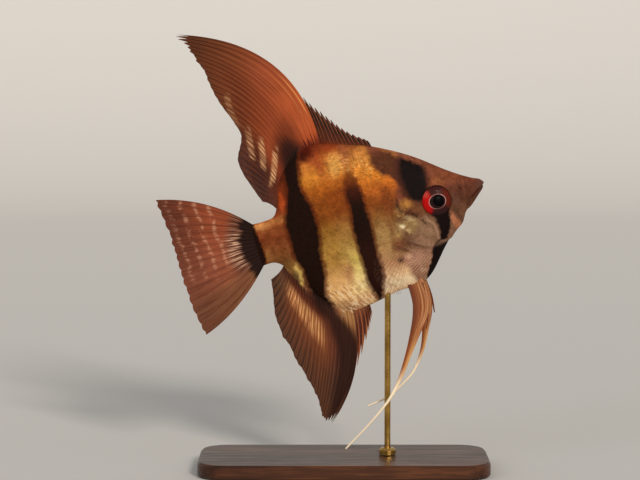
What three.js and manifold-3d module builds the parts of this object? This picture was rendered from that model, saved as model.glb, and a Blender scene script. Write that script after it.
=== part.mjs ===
// A freshwater angelfish (Pterophyllum scalare) as a life-size display model, held nose up on a stand.
//
// Millimetres, +Z up. The origin is the middle of the stand's underside, and the fish looks along +X.
// The fish is shaped in a frame of its own: origin in the middle of the tail root, +X towards the snout,
// +Y to the fish's left, +Z towards its back. One group tips that frame nose up and lifts it over the base.

import * as THREE from "three";
import { mergeVertices } from "three/addons/utils/BufferGeometryUtils.js";
import Module from "manifold-3d";

const wasm = await Module();
wasm.setup();

// ---------- Driving dimensions ----------

const SNOUT = 77; // standard length: tail root to the tip of the upper lip
const PITCH = THREE.MathUtils.degToRad(15.5); // nose up
const TAIL_ROOT = new THREE.Vector3(-28, 0, 75); // where the fish's origin sits over the base
const GAP = 0.3; // clearance between neighbouring pieces

const BASE = { length: 96, depth: 44, thickness: 5, corner: 9, bevel: 0.8 };
const ROD = { alongFish: 36.4, radius: 1, foot: 2, insertion: 6 };
const COLLAR = { radius: 2.8, height: 2.2, shoulder: 0.7 };

// An eye is a flattened ball that faces a little forward, as the cheek does.
const EYE = { x: 60.2, z: -1.3, radius: 5.5, halfDepth: 2.6, fromMiddle: 3.2, turn: 0.14 };

// ---------- Outline of the body, as [x, z] from the tail root to the snout ----------

const BACK = [
  [-0.6, 7.3], [4, 7.3], [7.4, 8.2], [9.4, 12], [12, 18.6], [16, 23.4], [22, 26.9],
  [28, 27.4], [36, 24.8], [44, 21.9], [56, 15.3], [67, 7], [73, 3.2], [77, 1.5],
];
const BELLY = [
  [-0.6, -7.1], [3.6, -7.3], [6.4, -9.6], [9, -14], [13, -20.2], [18, -26], [24, -29.6], [31, -29],
  [40, -27.2], [48, -26.9], [53, -24.1], [60, -16.3], [64.6, -12.6], [67, -10.8], [69, -7.6],
  [71.2, -6.2], [77, -0.9],
];
const HALF_WIDTH = [
  [-0.6, 0.9], [4, 1.9], [10, 2.9], [20, 4.2], [30, 5.1], [40, 5.6], [48, 5.7],
  [54, 5.4], [60, 4.7], [66, 3.8], [71, 2.8], [77, 1.7],
];
const WIDEST_HEIGHT = [[-0.6, 0], [20, -1], [40, -4], [50, -5], [60, -3], [70, -1], [77, 0.2]];
const ROUNDNESS = [[-0.6, 1.7], [10, 1.5], [45, 1.5], [60, 1.7], [77, 2]]; // 2 is an ellipse, 1 a wedge

// ---------- Lines along which the body is parted, as [x, z] ----------

const GILL_OPENING = [
  [51, 34], [49.2, 15], [47.2, 5], [45.5, 1], [44.9, -4.5], [46.2, -9.4], [49.6, -13], [54.4, -15.3],
  [60, -16.1], [68, -17.5],
];
const GILL_COVER = [
  [47.2, 4.6], [45.5, 1], [44.9, -4.5], [46.2, -9.4], [49.6, -13], [54.4, -15.3], [60, -16.1],
  [59.6, -14.4], [58.1, -11.6], [57.3, -7.8], [54, -2.8], [51, 3],
];
const COVER_DEPTH = 2.2; // a gill cover is the flesh further out than this
const COVER_LIFT = 0.35; // and stands this far proud of the flank
const TAIL_STALK_FRONT = [[8, 40], [8, -40]];
const MOUTH_SLIT = [
  [84, 0.6], [77, -0.4], [73, -2.4], [70.2, -4.6], [68.2, -7.4], [66.8, -12], [66.6, -20],
];
const UPPER_JAW_BACK = [[71.4, 12], [70.9, 2.6], [70.9, 0.2], [71.9, -3.1]];

// ---------- Fins: guide rays from the first to the last, each [base, bend, tip] as [x, z] ----------

const DORSAL_SAIL = {
  guides: [
    [[28.4, 26.5], [29.8, 62.3], [-7.6, 73.9]],
    [[23.6, 26], [20.6, 54], [-5.4, 68.6]],
    [[19.4, 24.5], [15.4, 48], [-2.2, 60]],
    [[15.6, 21.4], [11.6, 39], [0, 48.6]],
    [[12.6, 17.6], [9.6, 29], [3.9, 36.6]],
    [[10.8, 13.4], [7.2, 21], [0.7, 27.2]],
    [[9.2, 9], [7.8, 12.4], [4.9, 13.4]],
  ],
  rays: 12,
  steps: 8,
  notch: 0.025,
  bow: (u, v) => 2.6 * v * v * Math.sin(Math.PI * (0.9 * u)),
};
const DORSAL_SPINES = {
  guides: [
    [[44.4, 21], [44.4, 22.4], [43.6, 23.8]],
    [[39, 23], [38.4, 25.6], [37.4, 29]],
    [[33.5, 25], [33, 30], [31.7, 36.4]],
    alongside(DORSAL_SAIL.guides[0], 0.27, 0.4),
  ],
  rays: 10,
  steps: 4,
  notch: 0.14,
  bow: () => 0,
};
const ANAL_SAIL = {
  guides: [
    [[24.2, -27], [24, -50], [7.6, -63.4]],
    [[18.6, -24.8], [15.6, -45], [5.2, -61.4]],
    [[14.6, -21], [12, -37], [4.9, -52]],
    [[11.2, -16.8], [8.8, -29], [1.6, -38.5]],
    [[8.4, -12], [6, -20], [-0.9, -26]],
    [[6.2, -8.4], [4.8, -10.6], [0.8, -12]],
  ],
  rays: 11,
  steps: 7,
  notch: 0.03,
  bow: (u, v) => -2 * v * v * Math.sin(Math.PI * (0.9 * u)),
};
const ANAL_SPINES = {
  guides: [
    [[30, -27.6], [30.2, -30], [29.9, -32.2]],
    [[28, -27.6], [28.6, -33], [26.6, -38.4]],
    alongside(ANAL_SAIL.guides[0], 0.57, 0.4),
  ],
  rays: 6,
  steps: 5,
  notch: 0.14,
  bow: () => 0,
};
const CAUDAL_FIN = {
  guides: [
    [[-0.9, 7], [-12, 20], [-29, 23.4]],
    [[-0.9, 4.2], [-13, 9.2], [-27.6, 10.8]],
    [[-0.9, 0], [-13, 0.3], [-27.3, 0.2]],
    [[-0.9, -4.2], [-12.5, -8.6], [-26.8, -11.5]],
    [[-0.9, -6.8], [-11.5, -19.5], [-24.9, -24]],
  ],
  rays: 14,
  steps: 5,
  notch: 0.035,
  bow: (u, v) => 1.5 * v * Math.sin(2 * Math.PI * (0.08 + 0.8 * u)),
};

// A pectoral fin is laid out flat, with x outwards along the fin and z across it, then turned into place.
const PECTORAL_FIN = {
  guides: [
    [[-1.2, 2.3], [8, 4.6], [17, 5.2]],
    [[-1.2, 0.8], [9, 1.4], [18.4, 0.8]],
    [[-1.2, -0.8], [8, -2.4], [15.4, -4.6]],
    [[-1.2, -2.3], [4.5, -4.6], [9, -7]],
  ],
  rays: 8,
  steps: 4,
  notch: 0.03,
  bow: (u, v) => 1.2 * v * v,
};
const PECTORAL_ROOT = { x: 44.8, z: -13.2, down: 2.25, out: 0.62 };

// A pelvic fin is a ribbon that runs out into a filament, with a spine along its front.
// Its middle line and spine are [x, outwards, z], and its widths are [share of the length, width].
const PELVIC_FINS = {
  right: {
    line: [
      [46.6, 1.2, -25.6], [46.6, 2, -31.2], [45.4, 2.8, -35.7], [42.1, 3.7, -41.2], [38.4, 4.4, -46.9],
      [33, 5, -54.7], [27.8, 5.3, -60.3], [19.9, 5.5, -66], [9.7, 5.6, -72.2],
    ],
    widths: [[0, 5.6], [0.16, 5.7], [0.28, 4], [0.42, 2.5], [0.6, 1.5], [0.72, 0.9], [1, 0.6]],
    spine: [[48.6, 1.4, -26.2], [48.5, 2.2, -32], [47.7, 2.9, -36.5], [45.8, 3.3, -41.2]],
  },
  left: {
    line: [
      [47.6, 1.2, -25.6], [47.8, 2, -31.4], [47.3, 2.8, -36.4], [45.6, 3.5, -42], [42.7, 4.1, -48.5],
      [38.4, 4.6, -54.4], [33.8, 4.9, -57.7], [27.6, 5.1, -60.8], [20.4, 5.2, -62],
    ],
    widths: [[0, 5.4], [0.2, 4.8], [0.34, 2.8], [0.5, 1.7], [0.7, 0.9], [1, 0.6]],
    spine: [[49.8, 1.4, -26], [50.4, 2.2, -31.7], [50, 2.8, -37.2]],
  },
};
const PELVIC_THICKNESS = [1.1, 0.8]; // at the root and at the tip
const PELVIC_STEPS = 16;
const SPINE_RADIUS = 0.55;

const RAY_THICKNESS = 0.85;
const WEB_THICKNESS = 0.5;
const RAY_TAPER = 0.3; // share of its thickness that a ray loses towards its tip

// ---------- Colours ----------

const COLOURS = {
  skin: 0xa8773c,
  head: 0x7f472e,
  gill: 0x8e6a4d,
  fin: 0x8c4a2d,
  darkFin: 0x6b3520,
  clearFin: 0xa9876d,
  feeler: 0xbc8159,
  eye: 0x8a1712,
  wood: 0x4a2c1a,
  brass: 0xb08d4a,
};

function material(colour, roughness = 0.5, metalness = 0) {
  return new THREE.MeshStandardMaterial({ color: colour, roughness, metalness });
}

// ---------- Solids ----------

// A smooth curve through [x, value] points, as a function of x.
function through(points) {
  const slopes = points.map((p, i) => {
    const before = points[Math.max(i - 1, 0)];
    const after = points[Math.min(i + 1, points.length - 1)];
    return (after[1] - before[1]) / (after[0] - before[0]);
  });
  return (x) => {
    let i = points.findIndex((p) => p[0] > x) - 1;
    if (i < 0) i = x < points[0][0] ? 0 : points.length - 2;
    const span = points[i + 1][0] - points[i][0];
    const t = THREE.MathUtils.clamp((x - points[i][0]) / span, 0, 1);
    const [t2, t3] = [t * t, t * t * t];
    return (
      (2 * t3 - 3 * t2 + 1) * points[i][1] +
      (t3 - 2 * t2 + t) * span * slopes[i] +
      (3 * t2 - 2 * t3) * points[i + 1][1] +
      (t3 - t2) * span * slopes[i + 1]
    );
  };
}

// A closed three.js geometry as a manifold-3d solid, with its faces pointing out whichever way they ran.
function solidOf(geometry) {
  const bare = geometry.index ? geometry.toNonIndexed() : geometry.clone();
  const positions = new THREE.BufferGeometry().setAttribute("position", bare.getAttribute("position"));
  const merged = mergeVertices(positions, 1e-4);
  const vertProperties = merged.attributes.position.array;
  const triVerts = new Uint32Array(merged.index.array);
  const solid = new wasm.Manifold(new wasm.Mesh({ numProp: 3, vertProperties, triVerts }));
  if (solid.volume() > 0) return solid;
  return new wasm.Manifold(new wasm.Mesh({ numProp: 3, vertProperties, triVerts: triVerts.reverse() }));
}

// A solid as a three.js geometry.
function geometryOf(solid) {
  const { numProp, vertProperties, triVerts } = solid.getMesh();
  const corners = new Float32Array(triVerts.length * 3);
  triVerts.forEach((vertex, i) => {
    corners.set(vertProperties.subarray(vertex * numProp, vertex * numProp + 3), i * 3);
  });
  const geometry = new THREE.BufferGeometry().setAttribute("position", new THREE.BufferAttribute(corners, 3));
  geometry.computeVertexNormals();
  return geometry;
}

// A closed solid from rows of points: each row is a ring round the solid, with an even number of points, and
// the first and last rings are closed by strips across them.
function loft(rows) {
  const around = rows[0].length;
  const indices = [];
  for (let r = 0; r + 1 < rows.length; r++) {
    for (let k = 0; k < around; k++) {
      const [a, b] = [r * around + k, r * around + ((k + 1) % around)];
      indices.push(a, b, b + around, a, b + around, a + around);
    }
  }
  const last = around * (rows.length - 1);
  for (let k = 0; k + 1 < around / 2; k++) {
    const [a, b, c, d] = [k, k + 1, around - 2 - k, around - 1 - k];
    indices.push(a, c, b, a, d, c);
    indices.push(last + a, last + b, last + c, last + a, last + c, last + d);
  }
  const geometry = new THREE.BufferGeometry().setFromPoints(rows.flat());
  geometry.setIndex(indices);
  return solidOf(geometry);
}

// The largest of the pieces that a cut leaves.
function largestPiece(solid) {
  return solid.decompose().reduce((a, b) => (a.volume() > b.volume() ? a : b));
}

// ---------- Body ----------

const backAt = through(BACK);
const bellyAt = through(BELLY);
const halfWidthAt = through(HALF_WIDTH);
const widestHeightAt = through(WIDEST_HEIGHT);
const roundnessAt = through(ROUNDNESS);

// The half width of the body at a place on its side.
function flankAt(x, z) {
  const middle = widestHeightAt(x);
  const reach = z > middle ? backAt(x) - middle : middle - bellyAt(x);
  const height = Math.min(Math.abs(z - middle) / reach, 1);
  return halfWidthAt(x) * Math.pow(1 - height * height, 1 / roundnessAt(x));
}

const LIP_LENGTH = 1.6; // the length over which the snout rounds off
const SECTION_POINTS = 22;
const STATIONS = 28;
const stationAt = through([[0, 0], [0.34, 0.17], [0.6, 0.42], [0.9, 0.87], [1, 1]]); // closest behind

function bodySolid(grow = 0) {
  const tail = BACK[0][0] - grow;
  const rows = [];
  for (let i = 0; i <= STATIONS; i++) {
    const x = tail + (SNOUT + grow - 0.02 - tail) * stationAt(i / STATIONS);
    const intoLip = Math.max(0, (x - (SNOUT + grow - LIP_LENGTH)) / LIP_LENGTH);
    const closing = Math.sqrt(Math.max(1 - intoLip * intoLip, 0));
    const middle = widestHeightAt(x);
    rows.push(
      Array.from({ length: SECTION_POINTS }, (_, k) => {
        const angle = (2 * Math.PI * k) / SECTION_POINTS;
        const [up, out] = [Math.cos(angle), Math.sin(angle)];
        const reach = up > 0 ? backAt(x) + grow - middle : middle - bellyAt(x) + grow;
        const width = (halfWidthAt(x) + grow) * Math.pow(Math.abs(out), 2 / roundnessAt(x));
        return new THREE.Vector3(x, Math.sign(out) * width * closing, middle + up * reach * closing);
      }),
    );
  }
  return loft(rows);
}

// The smooth line through some [x, z] points.
function smoothLine(line, pieces = 24) {
  return new THREE.SplineCurve(line.map(([x, z]) => new THREE.Vector2(x, z))).getPoints(pieces);
}

// An outline in the x-z plane, extruded along y from one depth to another.
function prism(outline, fromY, toY) {
  const shape = new THREE.Shape(outline.map((p) => new THREE.Vector2(p.x, p.y)));
  const geometry = new THREE.ExtrudeGeometry(shape, { depth: toY - fromY, bevelEnabled: false });
  geometry.rotateX(Math.PI / 2).translate(0, toY, 0);
  return solidOf(geometry);
}

// A thin wall that stands on a line of the x-z plane and parts the body there.
function parting(line, fromY = -20, toY = 20) {
  const side = (i, sign) => {
    const along = line[Math.min(i + 1, line.length - 1)].clone().sub(line[Math.max(i - 1, 0)]).normalize();
    return new THREE.Vector2(-along.y, along.x).multiplyScalar((sign * GAP) / 2).add(line[i]);
  };
  const one = line.map((_, i) => side(i, 1));
  const other = line.map((_, i) => side(i, -1)).reverse();
  return prism([...one, ...other], fromY, toY);
}

const body = bodySolid();
const gillOpening = parting(smoothLine(GILL_OPENING, 20));
const stalkFront = parting(smoothLine(TAIL_STALK_FRONT, 1));
const mouthSlit = parting(smoothLine(MOUTH_SLIT, 14));
const upperJawBack = parting(smoothLine(UPPER_JAW_BACK, 6));
const coverLine = smoothLine([...GILL_COVER, GILL_COVER[0]], 26);

// The pieces of the body after the cuts, each found by the place of a point inside it.
const cutBody = body.subtract(gillOpening).subtract(stalkFront).subtract(mouthSlit).subtract(upperJawBack);
const bodyPieces = cutBody.decompose();

function pieceAt(x, z) {
  const probe = solidOf(new THREE.SphereGeometry(0.2, 8, 6).translate(x, 0, z));
  return bodyPieces.find((piece) => piece.intersect(probe).volume() > 0);
}

function coverSolid(side) {
  const [from, to] = side === "right" ? [-20, -COVER_DEPTH] : [COVER_DEPTH, 20];
  const outline = coverLine.slice(0, -1);
  const whole = bodySolid(COVER_LIFT).intersect(prism(outline, from, to));
  return whole.subtract(parting(coverLine)).subtract(gillOpening);
}

function headSolid() {
  const outline = coverLine.slice(0, -1);
  const under = GAP - COVER_DEPTH;
  const rooms = [prism(outline, -20, under), prism(outline, -under, 20)];
  const rims = [parting(coverLine, -20, under), parting(coverLine, -under, 20)];
  const sockets = [-1, 1].map((side) => eyeSolid(side, GAP));
  return [...rooms, ...rims, ...sockets].reduce((head, room) => head.subtract(room), pieceAt(60, 5));
}

function eyeSolid(side, grow = 0) {
  const geometry = new THREE.SphereGeometry(1, 16, 10);
  geometry.scale(EYE.radius + grow, EYE.halfDepth + grow, EYE.radius + grow);
  return solidOf(geometry.rotateZ(-side * EYE.turn).translate(EYE.x, side * EYE.fromMiddle, EYE.z));
}

// ---------- Fins ----------

// The first part of a guide ray, set off in front of it: where the last spine lies along the first soft ray.
function alongside([base, bend, tip], share, offset) {
  const mix = (a, b) => [0, 1].map((k) => a[k] + (b[k] - a[k]) * share);
  const forward = ([x, z]) => [x + offset, z];
  const firstBend = mix(base, bend);
  return [base, firstBend, mix(firstBend, mix(bend, tip))].map(forward);
}

// A fin as a closed sheet: thick along its rays, thin between them, with the rays' tips past its edge.
function finSolid({ guides, rays, steps, notch, bow }) {
  const [bases, bends, tips] = [0, 1, 2].map(
    (k) => new THREE.SplineCurve(guides.map((guide) => new THREE.Vector2(...guide[k]))),
  );
  const columns = 2 * rays - 1;
  const rows = [];
  for (let c = 0; c < columns; c++) {
    const u = c / (columns - 1);
    const onRay = c % 2 === 0;
    const ray = new THREE.QuadraticBezierCurve(bases.getPoint(u), bends.getPoint(u), tips.getPoint(u));
    const [left, right] = [[], []];
    for (let s = 0; s <= steps; s++) {
      const v = (s / steps) * (onRay ? 1 : 1 - notch);
      const p = ray.getPoint(v);
      const thickness = onRay ? RAY_THICKNESS * (1 - RAY_TAPER * v) : WEB_THICKNESS;
      left.push(new THREE.Vector3(p.x, bow(u, v) + thickness / 2, p.y));
      right.push(new THREE.Vector3(p.x, bow(u, v) - thickness / 2, p.y));
    }
    rows.push([...left, ...right.reverse()]);
  }
  return loft(rows);
}

// The whole body, grown a little, which every fin is cut back from.
const bodyRoom = bodySolid(GAP);

function pectoralSolid(side) {
  const root = PECTORAL_ROOT;
  const geometry = geometryOf(finSolid(PECTORAL_FIN)).rotateZ(root.out).rotateY(root.down);
  geometry.translate(root.x, flankAt(root.x, root.z), root.z).scale(1, side, 1);
  const coverRoom = bodySolid(COVER_LIFT + GAP).intersect(prism(coverLine.slice(0, -1), -20, 20));
  return largestPiece(solidOf(geometry).subtract(bodyRoom).subtract(coverRoom));
}

// A tapering round rod along a curve, from one radius to another.
function taperedRod(curve, from, to, steps = 5, sides = 6) {
  const frames = curve.computeFrenetFrames(steps, false);
  return loft(
    Array.from({ length: steps + 1 }, (_, i) => {
      const [centre, radius] = [curve.getPoint(i / steps), from + ((to - from) * i) / steps];
      return Array.from({ length: sides }, (_, k) => {
        const angle = (2 * Math.PI * k) / sides;
        return centre
          .clone()
          .addScaledVector(frames.normals[i], Math.cos(angle) * radius)
          .addScaledVector(frames.binormals[i], Math.sin(angle) * radius);
      });
    }),
  );
}

function pelvicSolid(side) {
  const { line, widths, spine } = PELVIC_FINS[side];
  const sign = side === "right" ? -1 : 1;
  const place = ([x, out, z]) => new THREE.Vector3(x, sign * out, z);
  const middle = new THREE.CatmullRomCurve3(line.map(place), false, "centripetal");
  const widthAt = through(widths);
  const rows = Array.from({ length: PELVIC_STEPS + 1 }, (_, i) => {
    const t = i / PELVIC_STEPS;
    const along = middle.getTangentAt(t);
    const across = new THREE.Vector3(along.z, 0, -along.x).setLength(widthAt(t) / 2);
    const thick = new THREE.Vector3(0, THREE.MathUtils.lerp(...PELVIC_THICKNESS, t) / 2, 0);
    return [[-1, -0.6], [-1, 0.6], [0, 1], [1, 0.6], [1, -0.6], [0, -1]].map(([w, h]) =>
      middle.getPointAt(t).addScaledVector(across, w).addScaledVector(thick, h),
    );
  });
  const spike = taperedRod(new THREE.CatmullRomCurve3(spine.map(place)), SPINE_RADIUS, SPINE_RADIUS / 2);
  return largestPiece(loft(rows).add(spike).subtract(bodyRoom));
}

// ---------- The fish, in its own frame ----------

const fish = new THREE.Group();
fish.rotation.y = -PITCH;
fish.position.copy(TAIL_ROOT);
fish.updateMatrix();

// Adds a finished solid to a group, as a named mesh.
function addNode(group, name, solid, colour, roughness, metalness) {
  const mesh = new THREE.Mesh(geometryOf(solid), material(colour, roughness, metalness));
  mesh.name = name;
  group.add(mesh);
}

// The rod stands upright in the object's frame, under this point of the belly.
const rodEntry = new THREE.Vector3(ROD.alongFish, 0, bellyAt(ROD.alongFish)).applyMatrix4(fish.matrix);
const rodTop = rodEntry.z + ROD.insertion;

function rodSolid(radius, fromZ, toZ) {
  const geometry = new THREE.CylinderGeometry(radius, radius, toZ - fromZ, 16);
  return solidOf(geometry.rotateX(Math.PI / 2).translate(rodEntry.x, 0, (fromZ + toZ) / 2));
}

const rodHole = geometryOf(rodSolid(ROD.radius + GAP, 0, rodTop + GAP));
const rodBore = solidOf(rodHole.applyMatrix4(fish.matrix.clone().invert()));

addNode(fish, "head", headSolid(), COLOURS.head, 0.45);
addNode(fish, "upper_jaw", pieceAt(75, 0.6), COLOURS.head, 0.45);
addNode(fish, "lower_jaw", pieceAt(72, -4.4), COLOURS.head, 0.45);
addNode(fish, "trunk", pieceAt(30, 0).subtract(rodBore), COLOURS.skin, 0.4);
addNode(fish, "tail_stalk", pieceAt(4, 0), COLOURS.skin, 0.4);
for (const [side, sign] of [["right", -1], ["left", 1]]) {
  addNode(fish, `gill_cover_${side}`, coverSolid(side), COLOURS.gill, 0.3);
  addNode(fish, `eye_${side}`, eyeSolid(sign), COLOURS.eye, 0.1);
  addNode(fish, `pectoral_fin_${side}`, pectoralSolid(sign), COLOURS.clearFin, 0.4);
  addNode(fish, `pelvic_fin_${side}`, pelvicSolid(side), COLOURS.feeler, 0.4);
}
addNode(fish, "dorsal_fin_spines", finSolid(DORSAL_SPINES).subtract(bodyRoom), COLOURS.darkFin, 0.5);
addNode(fish, "dorsal_fin_sail", finSolid(DORSAL_SAIL).subtract(bodyRoom), COLOURS.fin, 0.5);
addNode(fish, "anal_fin_spines", finSolid(ANAL_SPINES).subtract(bodyRoom), COLOURS.darkFin, 0.5);
addNode(fish, "anal_fin_sail", finSolid(ANAL_SAIL).subtract(bodyRoom), COLOURS.fin, 0.5);
addNode(fish, "caudal_fin", finSolid(CAUDAL_FIN).subtract(bodyRoom), COLOURS.fin, 0.5);

// ---------- The stand ----------

function baseSolid() {
  const { length, depth, thickness, corner, bevel } = BASE;
  const [x, y] = [length / 2 - bevel, depth / 2 - bevel];
  const shape = new THREE.Shape();
  shape.moveTo(-x + corner, -y);
  shape.absarc(x - corner, -y + corner, corner, -Math.PI / 2, 0);
  shape.absarc(x - corner, y - corner, corner, 0, Math.PI / 2);
  shape.absarc(-x + corner, y - corner, corner, Math.PI / 2, Math.PI);
  shape.absarc(-x + corner, -y + corner, corner, Math.PI, (3 * Math.PI) / 2);
  const geometry = new THREE.ExtrudeGeometry(shape, {
    depth: thickness - 2 * bevel,
    bevelThickness: bevel,
    bevelSize: bevel,
    bevelSegments: 1,
    curveSegments: 5,
  });
  const foot = rodSolid(ROD.radius + GAP, ROD.foot, 2 * thickness);
  return solidOf(geometry.translate(0, 0, bevel)).subtract(foot);
}

function collarSolid() {
  const { radius, height, shoulder } = COLLAR;
  const inner = ROD.radius + GAP;
  const chamfer = [[radius, height - shoulder], [radius - shoulder, height]];
  const profile = [[inner, 0], [radius, 0], ...chamfer, [inner, height], [inner, 0]];
  const geometry = new THREE.LatheGeometry(profile.map(([r, z]) => new THREE.Vector2(r, z)), 16);
  return solidOf(geometry.rotateX(Math.PI / 2).translate(rodEntry.x, 0, BASE.thickness + GAP));
}

const stand = new THREE.Group();
addNode(stand, "stand_base", baseSolid(), COLOURS.wood, 0.6);
addNode(stand, "stand_rod", rodSolid(ROD.radius, ROD.foot + GAP, rodTop), COLOURS.brass, 0.3, 1);
addNode(stand, "stand_collar", collarSolid(), COLOURS.brass, 0.3, 1);

const angelfish = new THREE.Group();
angelfish.add(fish, stand);

export default angelfish;
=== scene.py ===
import functools
import math

import bpy
import numpy as np
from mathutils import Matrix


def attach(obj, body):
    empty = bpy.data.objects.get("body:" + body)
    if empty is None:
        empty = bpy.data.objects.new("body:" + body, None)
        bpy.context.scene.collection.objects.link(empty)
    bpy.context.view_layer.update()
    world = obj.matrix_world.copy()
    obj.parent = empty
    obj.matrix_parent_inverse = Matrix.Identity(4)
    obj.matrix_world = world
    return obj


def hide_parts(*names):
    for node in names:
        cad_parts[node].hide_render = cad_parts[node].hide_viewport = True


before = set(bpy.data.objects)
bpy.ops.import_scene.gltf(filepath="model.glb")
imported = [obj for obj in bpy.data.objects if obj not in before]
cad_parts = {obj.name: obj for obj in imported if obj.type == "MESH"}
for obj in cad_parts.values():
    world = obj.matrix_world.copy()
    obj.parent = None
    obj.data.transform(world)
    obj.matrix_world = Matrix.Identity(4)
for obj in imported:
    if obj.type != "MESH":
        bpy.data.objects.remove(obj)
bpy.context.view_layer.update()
bpy.ops.object.select_all(action="DESELECT")


# ---------- Skin ----------
# One unbroken skin of painted resin over the snout, jaws, gill covers, trunk and tail stalk. It is cast
# with the head's folds in it: mouth and lips, nostrils, eye sockets, cheek ridge and the gill covers' edge.

PITCH = math.radians(15.5)
TAIL_ROOT = (-0.028, 0.0, 0.075)
SNOUT = 77.0
LIP_LENGTH = 1.6
COAT_DEPTH = 0.2
MM = 0.001

BACK = (
    (-0.6, 7.3), (4, 7.3), (7.4, 8.2), (9.4, 12), (12, 18.6), (16, 23.4), (22, 26.9),
    (28, 27.4), (36, 24.8), (44, 21.9), (56, 15.3), (67, 7), (73, 3.2), (77, 1.5),
)
BELLY = (
    (-0.6, -7.1), (3.6, -7.3), (6.4, -9.6), (9, -14), (13, -20.2), (18, -26), (24, -29.6), (31, -29),
    (40, -27.2), (48, -26.9), (53, -24.1), (60, -16.3), (64.6, -12.6), (67, -10.8), (69, -7.6),
    (71.2, -6.2), (77, -0.9),
)
HALF_WIDTH = (
    (-0.6, 0.9), (4, 1.9), (10, 2.9), (20, 4.2), (30, 5.1), (40, 5.6), (48, 5.7),
    (54, 5.4), (60, 4.7), (66, 3.8), (71, 2.8), (77, 1.7),
)
WIDEST_HEIGHT = ((-0.6, 0), (20, -1), (40, -4), (50, -5), (60, -3), (70, -1), (77, 0.2))
ROUNDNESS = ((-0.6, 1.7), (10, 1.5), (45, 1.5), (60, 1.7), (77, 2))
EYE = {"x": 60.2, "z": -1.3, "radius": 5.5, "half_depth": 2.6, "from_middle": 3.2, "turn": 0.14, "open": 4.95}

GILL_EDGE = (
    (49.6, 9), (47.2, 5), (45.5, 1), (44.9, -4.5), (46.2, -9.4), (49.6, -12.6), (54.4, -15.1),
    (58.2, -15.4), (62, -14.9), (64, -14.4),
)
CHEEK_RIDGE = (
    (53.6, -1.4), (55.2, -4.7), (56, -6.6), (57.4, -8.4), (57.9, -10.9), (57.7, -12.9), (58.6, -15.2),
)
MOUTH = ((78, 0), (77, -0.4), (75, -1.3), (73, -2.4), (71.2, -3.8))
JAW_FOLD = ((71.2, -3.8), (70, -5.2), (68.6, -7.4))
LIP_FOLD = ((71, 3.4), (70.9, 2.2), (70.9, 0.2), (71.6, -2.6))
NOSTRIL = (68.9, 0.4)
LIP_WIDTH = 0.7
SOCKET_DEPTH = 2.6
CHEEK_WRINKLES = (
    ((47.9, 3.4), (47.3, 0.6), (47.9, -1.3), (49.2, -3.2)),
    ((51.0, -2.7), (52.2, -4.0), (53.2, -5.4)),
    ((53.6, -5.4), (54.4, -6.8), (55.2, -8.4)),
)


def through(points):
    """A smooth curve through (x, value) points, as a function of x."""
    xs, values = np.array(points, float).T
    last = len(xs) - 1
    before = np.maximum(np.arange(last + 1) - 1, 0)
    after = np.minimum(np.arange(last + 1) + 1, last)
    slopes = (values[after] - values[before]) / (xs[after] - xs[before])

    def value_at(x):
        k = np.clip(np.searchsorted(xs, x, "right") - 1, 0, last - 1)
        span = xs[k + 1] - xs[k]
        t = np.clip((x - xs[k]) / span, 0, 1)
        ease = t * t * (3 - 2 * t)
        leaving = t * (1 - t) ** 2 * span * slopes[k]
        arriving = t * t * (t - 1) * span * slopes[k + 1]
        return (1 - ease) * values[k] + leaving + ease * values[k + 1] + arriving

    return value_at


def spline(points, shares):
    """Points of a smooth line through some points, at shares of the way along it."""
    points = np.array(points, float)
    last = len(points) - 1
    place = np.clip(np.asarray(shares, float), 0, 1) * last
    k = np.minimum(np.floor(place).astype(int), last)
    t = (place - k)[..., None]
    p0, p1 = points[np.maximum(k - 1, 0)], points[k]
    p2, p3 = points[np.minimum(k + 1, last)], points[np.minimum(k + 2, last)]
    leaving, arriving = (p2 - p0) / 2, (p3 - p1) / 2
    cubic = (2 * p1 - 2 * p2 + leaving + arriving) * t**3
    return cubic + (-3 * p1 + 3 * p2 - 2 * leaving - arriving) * t**2 + leaving * t + p1


def ease(value, low, high):
    """0 up to low, 1 from high, and smooth between."""
    t = np.clip((value - low) / (high - low), 0, 1)
    return t * t * (3 - 2 * t)


def bump(value, width):
    """1 at 0, fading over a width."""
    return np.exp(-((value / width) ** 2))


def off_line(x, z, line, pieces=32):
    """Distance from a smooth line, positive on its left, and the share of the way along it."""
    points = spline(line, np.linspace(0, 1, pieces + 1))
    start, step = points[:-1], np.diff(points, axis=0)
    away = np.stack((x, z), -1)[..., None, :] - start
    share = np.clip((away * step).sum(-1) / (step * step).sum(-1), 0, 1)
    gap = away - share[..., None] * step
    distance = np.hypot(gap[..., 0], gap[..., 1])
    nearest = distance.argmin(-1)[..., None]
    side = np.sign(step[:, 0] * away[..., 1] - step[:, 1] * away[..., 0])

    def pick(values):
        return np.take_along_axis(values, nearest, -1)[..., 0]

    return pick(distance) * pick(side), (nearest[..., 0] + pick(share)) / pieces


back_at, belly_at = through(BACK), through(BELLY)
half_width_at, widest_height_at = through(HALF_WIDTH), through(WIDEST_HEIGHT)
roundness_at = through(ROUNDNESS)


def flesh(x, angle):
    """Points of the bare form. The angle runs from the back's ridge down the left side."""
    middle = widest_height_at(x)
    closing = np.sqrt(1 - np.clip((x - (SNOUT - LIP_LENGTH)) / LIP_LENGTH, 0, 1) ** 2)
    up, out = np.cos(angle), np.sin(angle)
    reach = np.where(up > 0, back_at(x) - middle, middle - belly_at(x))
    width = half_width_at(x) * np.abs(out) ** (2 / roundness_at(x))
    return np.stack((x, np.sign(out) * width * closing, middle + up * reach * closing), -1)


def within(along, begins=None, ends=None):
    """1 along a line, easing in where it begins and out where it ends, as shares of the way."""
    inside = np.ones_like(along) if begins is None else ease(along, *begins)
    return inside if ends is None else inside * (1 - ease(along, *ends))


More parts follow.
